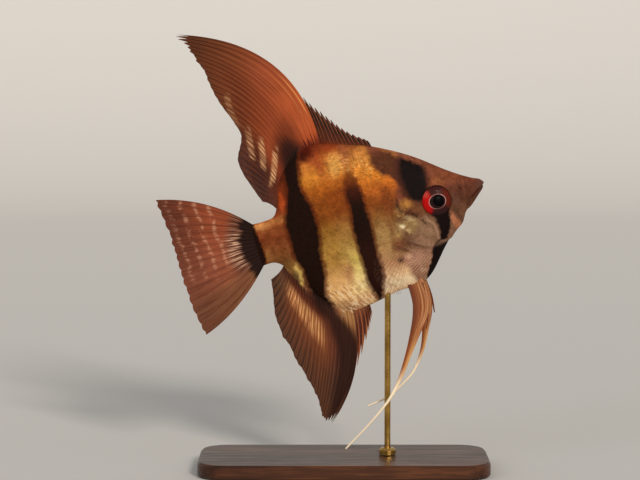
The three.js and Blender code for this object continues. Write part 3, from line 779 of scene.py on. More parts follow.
# each scale's free rear edge is lighter, partly its own colour and partly a painted highlight
edge_light = times(between(down_scale, 0.62, 0.95), clear, between_heights(z, -9, -20), 0.2)
colour = mix(edge_light, colour, "#ffe6c4")
spread = ramp(value_of("tone", tree), ((0.0, "#dcd4cc"), (0.5, "#f2efec"), (1.0, "#ffffff")))
colour = mix(between_heights(z, -20, -12, 0.35, 0.8), colour, spread, "MULTIPLY")
give(shader, Base_Color=draw_lines(tree, colour, 0.8, 0.75), Metallic=times(marked["Gilt"], 0.4))

ACROSS, ALONG = 5, 5  # points over a scale
random = np.random.default_rng(7)
OFF_RIDGE = 0.03  # how far from the ridges of back and belly the rows of scales stay, as an angle
arc_angles = np.linspace(OFF_RIDGE, math.pi - OFF_RIDGE, 240)


def scale_rows(x_from, x_to, pitch_x, pitch_z, keep):
    """Roots of staggered scales on one side, as (x, angle, length, half width as an angle)."""
    found = []
    for k, x in enumerate(np.arange(x_from, x_to, pitch_x / 2)):
        line = flesh(np.full_like(arc_angles, x), arc_angles)
        arc = np.concatenate(([0], np.cumsum(np.linalg.norm(np.diff(line, axis=0), axis=1))))
        rows = np.arange(-40, 41) + (0.5 if k % 2 else 0.0)
        wanted = np.interp(math.pi / 2, arc_angles, arc) + rows * pitch_z
        wanted = wanted[(wanted > 0.4 * pitch_z) & (wanted < arc[-1] - 0.4 * pitch_z)]
        angle = np.interp(wanted, arc, arc_angles)
        half = 0.62 * pitch_z * np.interp(wanted, arc, np.gradient(arc_angles, arc))
        line = flesh(np.full_like(angle, x), angle)
        chosen = keep(line[:, 0], line[:, 2])
        found += [(x, a, pitch_x, h) for a, h in zip(angle[chosen], half[chosen])]
    return found


def on_flank(x, z):
    cover, _ = off_line(x, z, GILL_EDGE)
    behind = np.where(z > 9, x < 50 + (z - 9) * 0.4, cover < -0.2) & (x > 1.4)
    return behind | ((x > 40) & (x < 60) & (z < -16.2))


def on_cheek(x, z):
    cover, _ = off_line(x, z, GILL_EDGE)
    eye = np.hypot(x - EYE["x"], z - EYE["z"])
    return (cover > 0.5) & (eye > 6.6) & (x < 60.5 - 0.12 * (z + 16)) & (z < 10) & (z > -15.6)


def on_nape(x, z):
    eye = np.hypot(x - EYE["x"], z - EYE["z"])
    return (z >= 9) & (x >= 50 + (z - 9) * 0.4) & (eye > 7) & (x < 61)


ROOT_DEPTH, FREE_LIFT, THICKNESS, CUPPING = -0.08, 0.08, 0.05, 0.05
LENGTH_IN_ROWS, AHEAD_IN_ROWS = 1.75, 0.62
FULL_PITCH = 1.8  # scales laid closer than this are thinner
along = np.linspace(0, 1, ALONG)[:, None]
across = np.linspace(-1, 1, ACROSS)[None, :]
tip = np.sqrt(np.clip(1 - np.clip((along - 0.45) / 0.62, 0, 1) ** 2, 0, 1))
outline = tip * (0.75 + 0.25 * ease(along, 0, 0.4))
rounding = 1 - 0.34 * across**2 * ease(along, 0.3, 1)


def lay_scales(name, side, roots):
    """Some scales of one side as a joined mesh, each scale a thin closed plate."""
    roots = np.array(roots)
    count = len(roots)
    x, angle, pitch, half = (roots[:, k, None, None] for k in range(4))
    length = LENGTH_IN_ROWS * pitch * random.uniform(0.94, 1.06, (count, 1, 1))
    skew = random.normal(0, 0.05, (count, 1, 1))
    px = x + AHEAD_IN_ROWS * pitch - length * along * rounding
    pa = angle + half * (across * outline + skew * along)
    px, pa = np.broadcast_arrays(px, pa)
    lift = ROOT_DEPTH + (FREE_LIFT - ROOT_DEPTH) * along**1.2 - CUPPING * across**2 + 0 * px
    lift = lift * np.minimum(pitch / FULL_PITCH, 1) ** 0.7
    thick = THICKNESS * np.minimum(pitch / FULL_PITCH, 1)
    top, _ = body_surface(px, side * pa, lift)
    under, _ = body_surface(px, side * pa, lift - thick)
    cell = ACROSS * ALONG
    points = np.stack((top, under), 1).reshape(-1, 3)
    shell = sheet_faces(ALONG, ACROSS)
    faces = (shell[None] + (np.arange(count) * 2 * cell)[:, None, None]).reshape(-1, 4)
    coat = fish_piece(name, points, faces.tolist(), coat_material)
    own = np.stack(np.broadcast_arrays((across + 1) / 2, along), -1).reshape(1, 1, cell, 2)
    own = np.broadcast_to(own, (count, 2, cell, 2)).reshape(-1, 2)
    add_map(coat, "Scale", own).active_render = True
    turn = (side * roots[:, 1]) % (2 * math.pi)
    root = np.stack((roots[:, 0] / SNOUT, turn / (2 * math.pi)), -1)
    add_map(coat, "OFBake", np.repeat(root * 0.994, 2 * cell, 0) + 0.003 * own)
    tones = np.repeat(random.uniform(0, 1, count), 2 * cell)
    add_values(coat, tone=tones, **fine_lines(points[:, 0], points[:, 2]))


SIDES = ((-1, "right"), (1, "left"))
COAT_SPLIT = 29  # the flank's scales are two pieces, which meet here
for side, name in SIDES:
    flank = scale_rows(1.6, 60, 1.5, 1.1, on_flank)
    lay_scales("scales_rear_" + name, side, [root for root in flank if root[0] < COAT_SPLIT])
    lay_scales("scales_front_" + name, side, [root for root in flank if root[0] >= COAT_SPLIT])
    cheek = scale_rows(44, 62, 1.1, 0.8, on_cheek) + scale_rows(48, 62, 1.2, 0.85, on_nape)
    lay_scales("scales_head_" + name, side, cheek)


# ---------- Eyes ----------
# Cast glass eyes, each a flattened ball with a black pupil, a fine pale ring and a red iris, set in the
# socket so that the skin's rim holds its edge.

eye_material, tree, shader = new_material(
    "fish_eye", 0.4, Specular_IOR_Level=0.03, Coat_Weight=0.012, Coat_Roughness=0.05)
flat = results_of(places, tree)["Flat"]
PUPIL = (EYE["x"] + 0.55, EYE["z"] + 0.05)
RING = {"centre": (EYE["x"] + 0.2, EYE["z"] - 0.15), "radii": (2.85, 2.45)}

from_middle, from_ring = seen_from(flat, (EYE["x"], EYE["z"])), seen_from(flat, **RING)
fibres, to_ring = noise(from_middle, 2.4, 4.0, 0.6), length_of(from_ring)
iris = ramp(fibres, ((0.3, "#26100f"), (0.55, "#401d1a"), (0.75, "#54261e")))
iris = mix(spot(flat, (64.2, -1.8), (1.6, 4.4), 8, 0.5), iris, "#5c2014")
iris = mix(times(spot(flat, (60.4, -6.2), (4.4, 2.4), 0, 0.5), 0.8), iris, "#2c1c1c")
red = mix(between(fibres, 0.35, 0.7), "#980a0c", "#cc1a18")
red = mix(spot(flat, (57.2, 2.4), (1.6, 1.6), 0, 0.6), red, "#b83c34")
iris = mix(spot(flat, (56.2, -0.6), (2.55, 4.5), 0, 0.3), iris, red)
within_ring = mix(between(fibres, 0.4, 0.6), "#120a0c", "#3c2220")
iris = mix(between(to_ring, 1.0, 0.93), iris, within_ring)
ring_shine = times(
    between(to_ring, 0.915, 0.965),
    between(to_ring, 1.04, 0.99),
    between(parts(from_ring)["Z"], -0.9, -0.3, 0.55, 1.0),
    between(calc("ABSOLUTE", parts(from_ring)["X"]), 0.1, 0.75, 0.5, 0.95),
    between(fibres, 0.25, 0.6, 0.6, 1.0),
)
iris = mix(ring_shine, iris, "#ca948a")
iris = mix(between(length_of(seen_from(flat, PUPIL)), 1.95, 1.75), iris, "#060506")
iris = mix(between(length_of(from_middle), 4.5, 4.95), iris, "#200e0a")
give(shader, Base_Color=iris)

ROUND_EYE = 96
GROOVE = {"radius": 2.7, "depth": 0.14, "width": 0.9}
LENS = {"radius": 1.9, "height": 0.3}
for side, name in SIDES:
    r = np.linspace(0.08, EYE["radius"] - 0.1, 44)[:, None]
    turn = round_turn(ROUND_EYE)[None, :]
    height = EYE["half_depth"] * np.sqrt(1 - (r / EYE["radius"]) ** 2) + 0 * turn
    height -= GROOVE["depth"] * bump(r - GROOVE["radius"], GROOVE["width"])
    height += LENS["height"] * np.sqrt(np.clip(1 - (r / LENS["radius"]) ** 2, 0, 1))
    forward = np.array((math.cos(EYE["turn"]), -side * math.sin(EYE["turn"]), 0))
    outward = np.array((math.sin(EYE["turn"]), side * math.cos(EYE["turn"]), 0))
    centre = np.array((EYE["x"], side * EYE["from_middle"], EYE["z"]))
    ball = centre + (r * np.cos(turn))[..., None] * forward + (r * np.sin(turn))[..., None] * (0, 0, 1)
    ball = (ball + height[..., None] * outward).reshape(-1, 3)
    faces = grid_faces(len(r), ROUND_EYE, closed=True)
    count = len(ball)
    faces += fan_faces(count, 0, ROUND_EYE) + fan_faces(count + 1, count - ROUND_EYE, ROUND_EYE)
    ends = (centre + (height[0, 0] + 0.002) * outward, centre - 0.4 * outward)
    points = np.concatenate((ball, ends))
    eye = fish_piece("eyeball_" + name, points, faces, eye_material)
    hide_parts("eye_" + name)


# ---------- Unpaired fins ----------
# Dorsal, anal and tail fins: thin webs over soft rays that fork towards their tips, cast in tinted resin.
# The first rays of the dorsal and anal fins are spines that grow longer one after the other.

BRANCH_WIDTH, BRANCH_SPREADS = 0.085, (0.2, 0.09)  # as shares of the rays' spacing


def ray_profile(off, v, forks):
    """How strongly a ray or one of its branches stands out, at a distance off the ray's middle."""
    first, second = (ease(v, fork, 1.0) * spread for fork, spread in zip(forks, BRANCH_SPREADS))
    branches = [off + a * first + b * second for a in (-1, 1) for b in (-1, 1)]
    return np.max([bump(branch, BRANCH_WIDTH) for branch in branches], axis=0)


def as_shaped(points):
    return points


def fin(name, guides, rays, bow, material, web=(0.34, 0.12), ridge=(0.34, 0.14), notch=0.02, fray=0.0,
        per_ray=14, rows=56, ragged=0.015, forks=(0.42, 0.72), placed=as_shaped):
    """A closed sheet over rays that run between guide rays, each [base, bend, tip] as (x, z)."""
    u = np.linspace(0, 1, (rays - 1) * per_ray + 1)
    place = u * (rays - 1)
    off = place - np.round(place)
    v = np.linspace(0, 1, rows + 1)[None, :]
    stretch = random.uniform(1 - ragged, 1 + ragged, rays + 1)
    ends = np.interp(place, np.arange(rays + 1), stretch)
    gap = notch + fray * bump(u, 0.12)
    reach = (ends - gap * (2 * np.abs(off)) ** 1.5)[:, None] * v
    base, bend, tip = (spline([g[k] for g in guides], u)[:, None, :] for k in range(3))
    t = reach[..., None]
    line = (1 - t) ** 2 * base + 2 * t * (1 - t) * bend + t * t * tip
    ray = ray_profile(off[:, None], v, forks)
    thick = web[0] + (web[1] - web[0]) * v + ray * (ridge[0] + (ridge[1] - ridge[0]) * v)
    middle = bow(u[:, None], reach)
    sides = [np.stack((line[..., 0], middle + s * thick / 2, line[..., 1]), -1) for s in (1, -1)]
    points = placed(np.concatenate([s.reshape(-1, 3) for s in sides]))
    piece = fish_piece(name, points, sheet_faces(len(u), rows + 1).tolist(), material)
    own = np.stack(np.broadcast_arrays(place[:, None], v), -1).reshape(-1, 2)
    add_map(piece, "Rays", np.concatenate((own, own)))
    return piece


# What any fin's material needs of its rays: how near a ray a place is, the joints across the rays, and
# fine streaks that run with them.
fin_rays, out = new_group("Fin rays", [
    (name, "Float") for name in ("Ray", "Joint", "Along", "Number", "Jitter", "Streak")])
JOINTS = 42.0  # along a whole ray
own_map = add_node(fin_rays, "UVMap", uv_map="Rays").outputs[0]
u, v = parts(own_map)["X"], parts(own_map)["Y"]
number = calc("ROUND", u)
off = calc("ABSOLUTE", calc("SUBTRACT", u, number))
off_branch = calc("ABSOLUTE", calc("SUBTRACT", off, between(v, 0.42, 1.0, 0.0, 0.2)))
sway = times(noise(own_map, 3.0, 1.0), 0.02)
give(
    out,
    Ray=between(off_branch, 0.2, 0.06),
    Joint=between(calc("FRACT", times(calc("ADD", v, sway), JOINTS)), 0.3, 0.1),
    Along=v,
    Number=number,
    Jitter=add_node(fin_rays, "TexWhiteNoise", {"W": number}, noise_dimensions="1D").outputs["Value"],
    Streak=between(noise(mapped(own_map, Scale=(5.0, 3.0, 1.0)), 1.0, 3.0, 0.6), 0.35, 0.65),
)


def fin_material(name, roughness=0.55):
    """The start of a fin's material: its shader, the places on it, and its rays."""
    material, tree, shader = new_material(name, roughness)
    return material, shader, results_of(places, tree), results_of(fin_rays, tree)


def by_rays(rays, first, *others):
    """Colours along the rays, each of the others with the rays' numbers over which it takes over."""
    colour = ramp(rays["Along"], first)
    for begins, full, stops in others:
        colour = mix(between(rays["Number"], begins, full), colour, ramp(rays["Along"], stops))
    return colour


def clouded(colour, flat, scale, most, tone):
    """A colour with faint clouds of a tone over it."""
    return mix(between(noise(flat, scale), 0.4, 0.65, most, 0.0), colour, tone)


def firm_rays(webs, rays):
    """The alpha of a fin from that of its webs, with the rays nearly solid."""
    return highest(webs, times(rays["Ray"], 0.95))


def finish_fin(shader, rays, colour, alpha, sheath=0.0):
    """Ends a fin's material: its scaly foot, streaks, joints across the rays, and see-through webs."""
    if sheath:
        ragged = times(calc("SUBTRACT", rays["Streak"], 0.5), 0.9 * sheath)
        foot = between(calc("ADD", rays["Along"], ragged), sheath, 0.4 * sheath)
        colour = mix(foot, colour, results_of(marks_and_light, shader.id_data)["Colour"])
    streaked = ramp(rays["Streak"], ((0.0, "#b8aca4"), (0.6, "#ffffff")))
    give(shader, Base_Color=mix(0.55, colour, streaked, "MULTIPLY"), Alpha=alpha)
    wrinkle = noise(add_node(shader.id_data, "UVMap", uv_map="Rays").outputs[0], 9.0)
    dent(shader, calc("SUBTRACT", wrinkle, times(rays["Joint"], rays["Ray"], 0.6)), 0.3, 0.0001)


def alongside(guide, share, offset):
    """The first part of a guide ray, set off in front of it."""
    base, bend, tip = (np.array(p, float) for p in guide)
    first_bend = base + (bend - base) * share
    second = first_bend + (bend + (tip - bend) * share - first_bend) * share
    return [tuple(p + (offset, 0)) for p in (base, first_bend, second)]


DORSAL = (
    ((28.4, 26.5), (29.8, 62.3), (-7.6, 73.9)),
    ((23.6, 26), (20.6, 54), (-5.4, 68.6)),
    ((19.4, 24.5), (15.4, 48), (-2.2, 60)),
    ((15.6, 21.4), (11.6, 39), (0, 48.6)),
    ((12.6, 17.6), (9.6, 29), (3.9, 36.6)),
    ((10.8, 13.4), (7.2, 21), (0.7, 27.2)),
    ((9.2, 9), (7.8, 12.4), (4.9, 13.4)),
)
DORSAL_SPINES = (
    ((44.4, 21), (44.4, 22.4), (43.6, 23.8)),
    ((39, 23), (38.4, 25.6), (37.4, 29)),
    ((33.5, 25), (33, 30), (31.7, 36.4)),
    alongside(DORSAL[0], 0.27, -0.08),
)

dorsal_material, shader, place, rays = fin_material("dorsal_fin")
along, number, ray = rays["Along"], rays["Number"], rays["Ray"]
colour = by_rays(
    rays,
    ((0.0, "#b04a24"), (0.12, "#c05c30"), (0.25, "#b8562c"), (0.55, "#96482a"), (0.7, "#763b21"),
     (0.85, "#562d1b"), (1.0, "#361e15")),
    (2.5, 8.0, (
        (0.0, "#6a2814"), (0.18, "#903e1c"), (0.32, "#964322"), (0.45, "#863b1c"), (0.58, "#743319"),
        (0.72, "#602b17"), (0.86, "#60301c"), (1.0, "#4c2a1c"),
    )),
    (14.5, 19.5, (
        (0.0, "#642810"), (0.14, "#562310"), (0.28, "#522618"), (0.45, "#401d15"), (0.7, "#3c1c15"),
        (0.88, "#4a2822"), (1.0, "#3e221c"),
    )),
)
colour = clouded(colour, place["Flat"], 0.12, 0.2, "#6e3016")
colour = mix(times(ray, between(number, 14.0, 19.0, 0.16, 0.07)), colour, "#c8743e")
gleam = times(between(number, 2.6, 0.6), between(along, 0.12, 0.22), between(along, 0.5, 0.34), ray, 0.8)
colour = mix(gleam, colour, "#e89a58")

# Columns of pale flecks between the hindmost rays, each along a line, with uneven ends.
FLECK_HALF_WIDTH = 0.95
flecks = 0.0
uneven = calc("ADD", place["Z"], times(rays["Jitter"], 0.03))
for line, strength in (
    (((13.6, 28.8), (11.3, 22.2), (9.3, 17.8)), 0.95),
    (((9.8, 34.3), (9.3, 29.3), (8.2, 24.1)), 0.8),
    (((6.6, 38.6), (6.2, 33.5), (5.7, 28.6)), 0.7),
    (((3.0, 50.6), (3.6, 42.5), (3.9, 39.5)), 0.45),
):
    edges = [[(px + aside, pz) for px, pz in line] for aside in (-FLECK_HALF_WIDTH, FLECK_HALF_WIDTH)]
    top, foot = (z_share(line[k][1]) for k in (0, -1))
    column = times(
        band(place["X"], place["Z"], *edges, 0.5),
        between(uneven, top + 0.023, top + 0.001),
        between(uneven, foot + 0.001, foot + 0.023, 0.0, strength),
    )
    flecks = highest(flecks, column)
flecks = times(flecks, between(ray, 0.9, 0.2, 0.15, 1.0), between(rays["Streak"], 0.2, 0.8, 0.4, 1.0))
colour = mix(flecks, colour, "#e2aa7a")
base_dark = times(spot(place["Flat"], (18.4, 24.4), (4.2, 8.4), 10, 0.55), 0.95)
above = times(spot(place["Flat"], (19.4, 32.4), (3.0, 4.6), 0, 0.8), 0.4)
colour = mix(highest(base_dark, above), colour, "#2a0f09")
finish_fin(shader, rays, colour, firm_rays(between(number, 16.5, 25.0, 0.99, 0.86), rays), 0.06)


def dorsal_bow(u, v):
    return 2.6 * v * v * np.sin(math.pi * 0.9 * u)


dorsal = fin("dorsal_sail", DORSAL, 27, dorsal_bow, dorsal_material, ridge=(0.28, 0.08), notch=0.008,
             fray=0.05, per_ray=12, ragged=0.012)
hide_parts("dorsal_fin_sail")


def no_bow(u, v):
    return 0 * u * v


spines_material, shader, _, rays = fin_material("spiny_fin")
spine = between(rays["Ray"], 0.35, 1.0)
colour = mix(between(rays["Along"], 0.1, 0.8), "#5c2814", "#2a1610")
colour = mix(times(spine, 0.6), colour, "#96583a")
finish_fin(shader, rays, colour, between(rays["Ray"], 0.0, 0.6, 0.9, 1.0), 0.12)
spines = fin("dorsal_spines", DORSAL_SPINES, 14, no_bow, spines_material, web=(0.34, 0.12),
             ridge=(0.5, 0.26), notch=0.2, ragged=0.03, rows=24, forks=(2.0, 3.0))
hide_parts("dorsal_fin_spines")

ANAL = (
    ((24.2, -27), (24, -50), (7.6, -63.4)),
    ((18.6, -24.8), (15.6, -45), (5.2, -61.4)),
    ((14.6, -21), (12, -37), (4.9, -52)),
    ((11.2, -16.8), (8.8, -29), (1.6, -38.5)),
    ((8.4, -12), (6, -20), (-0.9, -26)),
    ((6.2, -8.4), (4.8, -10.6), (0.8, -12)),
)
ANAL_SPINES = (
    ((30, -27.6), (30.2, -30), (29.9, -32.2)),
    ((28, -27.6), (28.6, -33), (26.6, -38.4)),
    alongside(ANAL[0], 0.57, -0.08),
)

anal_material, shader, place, rays = fin_material("anal_fin")
along, number, ray = rays["Along"], rays["Number"], rays["Ray"]
colour = by_rays(
    rays,
    ((0.0, "#b07c50"), (0.1, "#94603c"), (0.2, "#6c3a24"), (0.35, "#5a2e22"), (0.5, "#43241a"),
     (0.7, "#38251c"), (1.0, "#422a1e")),
    (3.5, 11.0, (
        (0.0, "#2c110a"), (0.12, "#3c180f"), (0.22, "#5c2816"), (0.34, "#7c4022"), (0.46, "#864626"),
        (0.58, "#723c1e"), (0.7, "#582e1a"), (0.85, "#462718"), (1.0, "#362016"),
    )),
    (18.5, 23.0, (
        (0.0, "#46240f"), (0.15, "#42200f"), (0.3, "#4c2a1a"), (0.42, "#5e3a26"), (0.5, "#5c3c28"),
        (0.7, "#44301e"), (0.85, "#362216"), (1.0, "#2c1d13"),
    )),
)
colour = clouded(colour, place["Flat"], 0.14, 0.25, "#3c1c10")
colour = mix(times(ray, 0.2), colour, "#a4603a")
streaks = times(
    between(along, 0.2, 0.36), between(along, 0.58, 0.42), between(number, 7.5, 11.0),
    between(number, 22.5, 19.0), between(ray, 0.9, 0.3, 0.1, 1.0),
    between(rays["Streak"], 0.25, 0.8, 0.25, 1.0), 0.9,
)
colour = mix(streaks, colour, "#e2a468")
sheen = times(between(along, 0.36, 0.05), between(number, 4.2, 1.8), between(ray, 0.8, 0.2, 0.2, 1.0), 0.8)
colour = mix(sheen, colour, "#b0824e")
bar_end = band(
    place["X"], place["Z"],
    ((12.3, -22), (12.8, -26), (15.0, -30), (15.4, -34), (15.6, -38), (15.4, -42), (14.6, -46), (12.4, -50),
     (10.4, -54)),
    ((17.2, -22), (18.6, -26), (19.6, -30), (21.6, -34), (22.8, -38), (23.2, -42), (21.2, -48), (16.4, -54)),
    1.6,
)
colour = mix(times(bar_end, 0.92), colour, "#2a110a")
finish_fin(shader, rays, colour, firm_rays(between(number, 18.0, 25.0, 0.99, 0.94), rays), 0.09)


def anal_bow(u, v):
    return -2 * v * v * np.sin(math.pi * 0.9 * u)


anal = fin("anal_sail", ANAL, 26, anal_bow, anal_material, ridge=(0.28, 0.09), notch=0.01, fray=0.1,
           per_ray=12, ragged=0.022)
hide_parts("anal_fin_sail")
anal_spines_material, shader, _, rays = fin_material("anal_spines")
spine = between(rays["Ray"], 0.3, 1.0)
colour = mix(between(rays["Along"], 0.05, 0.5), "#8a5236", "#522418")
colour = mix(times(spine, 0.7), colour, "#b4683e")
colour = mix(times(spine, between(rays["Along"], 0.8, 1.0, 0.0, 0.6)), colour, "#d8a684")
finish_fin(shader, rays, colour, between(rays["Ray"], 0.0, 0.6, 0.88, 1.0), 0.1)
spines = fin("anal_spines", ANAL_SPINES, 8, no_bow, anal_spines_material, web=(0.36, 0.12),
             ridge=(0.5, 0.3), notch=0.3, ragged=0.03, rows=36, forks=(2.0, 3.0))
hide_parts("anal_fin_spines")

CAUDAL = (
    ((0.6, 6.2), (-12, 20), (-29, 23.4)),
    ((0.6, 3.7), (-13, 9.2), (-27.6, 10.8)),
    ((0.6, 0), (-13, 0.3), (-27.3, 0.2)),
    ((0.6, -3.7), (-12.5, -8.6), (-26.8, -11.5)),
    ((0.6, -6.0), (-11.5, -19.5), (-24.9, -24)),
)
tail_material, shader, place, rays = fin_material("tail_fin")
along, number, ray = rays["Along"], rays["Number"], rays["Ray"]
colour = mix(between(number, 3.0, 10.0), "#9a4c2e", "#985238")
colour = mix(between(number, 10.5, 14.0), colour, "#7d5034")
colour = clouded(colour, place["Flat"], 0.16, 0.25, "#6a3824")
outer = times(between(along, 0.5, 0.95), between(number, 13.0, 1.0, 0.35, 0.8))
colour = mix(outer, colour, "#56291c")
colour = mix(times(ray, 0.4), colour, "#66301d")

# Rows of pale dashes across the outer half.
scatter = times(rays["Jitter"], between(number, 4.0, 8.0, 0.12, 0.45))
step = calc("FRACT", calc("ADD", times(along, 6.8), scatter))
dashes = times(
    between(step, 0.1, 0.35), between(step, 0.62, 0.4), between(along, 0.38, 0.46),
    between(along, 1.0, 0.86, 0.15, 1.0), between(number, 11.5, 9.0),
    between(noise(place["Flat"], 0.5, 1.0), 0.38, 0.56), between(ray, 0.9, 0.3, 0.25, 1.0), 0.7,
)
colour = mix(dashes, colour, "#c48a6c")

# A dark base with a curved edge, and behind it shining webs between dark gaps.
own = parts(place["Flat"])
from_root = calc("SUBTRACT", own["X"], times(own["Z"], own["Z"], 0.028))
wave = times(calc("SUBTRACT", rays["Jitter"], 0.5), 1.6)
base_dark = between(calc("ADD", from_root, wave), -7.4, -5.0)
gaps = times(between(from_root, -12.5, -8.0), between(number, 13.5, 11.5))
shine = times(
    gaps, between(number, 3.5, 6.0, 0.25, 1.0), between(number, 12.0, 9.5, 0.2, 1.0), between(ray, 0.75, 0.1),
    between(rays["Streak"], 0.35, 0.75, 0.1, 1.0), 0.85,
)
colour = mix(times(gaps, 0.75), colour, "#3c1f17")
colour = mix(shine, colour, "#e8b896")
colour = mix(base_dark, colour, "#24110b")
finish_fin(shader, rays, colour, firm_rays(between(along, 0.4, 1.0, 0.99, 0.88), rays))


def tail_bow(u, v):
    return 1.5 * v * np.sin(2 * math.pi * (0.08 + 0.8 * u))


tail = fin("tail_fin", CAUDAL, 17, tail_bow, tail_material, notch=0.014, per_ray=16, ragged=0.008)
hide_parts("caudal_fin")


# ---------- Paired fins ----------
# Clear pectoral fins spread from behind the gill covers, and the long pelvic feelers: a broad ribbon at the
# root with a spine in front, drawn out into a pale thread.

PECTORAL = (
    ((-1.2, 2.3), (8, 4.6), (17, 5.2)),
    ((-1.2, 0.8), (9, 1.4), (18.4, 0.8)),
    ((-1.2, -0.8), (8, -2.4), (15.4, -4.6)),
    ((-1.2, -2.3), (4.5, -4.6), (9, -7)),
)
PECTORAL_ROOT = {"x": 44.8, "z": -13.2, "down": 2.25, "out": 0.62}

pectoral_material, shader, _, rays = fin_material("pectoral_fin", 0.3)
foot = between(rays["Along"], 0.1, 0.02)
colour = mix(foot, mix(rays["Ray"], "#6a4a3a", "#4c3428"), "#84503a")
alpha = calc("ADD", times(rays["Ray"], 0.1), 0.02)
finish_fin(shader, rays, colour, highest(alpha, times(foot, 0.6)))


def pectoral_bow(u, v):
    return 1.2 * v * v


def pectoral(side, name):
    """The fin is shaped flat, then turned out and down, and set on the flank."""
    root = PECTORAL_ROOT
    flank = float(flank_at(np.array(root["x"]), np.array(root["z"])))

    def on_its_flank(points):
        back, off, across = points.T
        c, s = math.cos(root["out"]), math.sin(root["out"])
        back, off = back * c - off * s, back * s + off * c
        c, s = math.cos(root["down"]), math.sin(root["down"])
        back, across = back * c + across * s, across * c - back * s
        return np.stack((root["x"] + back, side * (flank + off), root["z"] + across), -1)

    piece = fin("pectoral_" + name, PECTORAL, 11, pectoral_bow, pectoral_material,
                web=(0.3, 0.08), ridge=(0.3, 0.1), notch=0.03, rows=36, placed=on_its_flank)
    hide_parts("pectoral_fin_" + name)


for side, name in SIDES:
    pectoral(side, name)

PELVIC = {
    "right": {
        "line": (
            (46.4, 0.9, -24.2), (46.6, 2, -31.2), (45.4, 2.8, -35.7), (42.1, 3.7, -41.2), (38.4, 4.4, -46.9),
            (33, 5, -54.7), (27.8, 5.3, -60.3), (19.9, 5.5, -66), (9.7, 5.6, -72.2),
        ),
        "widths": ((0, 5.4), (0.16, 5.5), (0.28, 3.5), (0.42, 1.9), (0.6, 1.15), (0.72, 0.8), (1, 0.55)),
        "spine": ((48.6, 1.4, -26.2), (48.5, 2.2, -32), (47.7, 2.9, -36.5), (45.8, 3.3, -41.2)),
    },
    "left": {
        "line": (
            (47.4, 0.9, -24.2), (47.8, 2, -31.4), (47.3, 2.8, -36.4), (45.6, 3.5, -42), (42.7, 4.1, -48.5),
            (38.4, 4.6, -54.4), (33.8, 4.9, -57.7), (27.6, 5.1, -60.8), (20.4, 5.2, -62),
        ),
        "widths": ((0, 5.4), (0.2, 4.6), (0.34, 2.3), (0.5, 1.2), (0.7, 0.75), (1, 0.55)),
        "spine": ((49.8, 1.4, -26), (50.4, 2.2, -31.7), (50, 2.8, -37.2)),
    },
}

feeler_material, shader, _, rays = fin_material("pelvic_feeler")
along, number = rays["Along"], rays["Number"]
colour = mix(between(number, 0.0, 3.6), "#6c3420", "#a85c2c")
colour = mix(times(between(rays["Ray"], 0.6, 0.1), 0.4), colour, "#6a3a28")
sheen = times(between(rays["Streak"], 0.5, 0.85), between(number, 1.4, 3.6), 0.75)
colour = mix(sheen, colour, "#e6b482")
lower = mix(between(number, 1.0, 4.6), "#94491f", "#dca468")
colour = mix(between(along, 0.26, 0.44), colour, lower)
colour = mix(between(along, 0.46, 0.62), colour, "#ffeccc")
finish_fin(shader, rays, colour, between(along, 0.25, 0.5, 0.95, 1.0))

PELVIC_RAYS, ACROSS_RIBBON, ALONG_RIBBON = 7, 61, 150
SPINE_SIDES, SPINE_RINGS = 12, 30


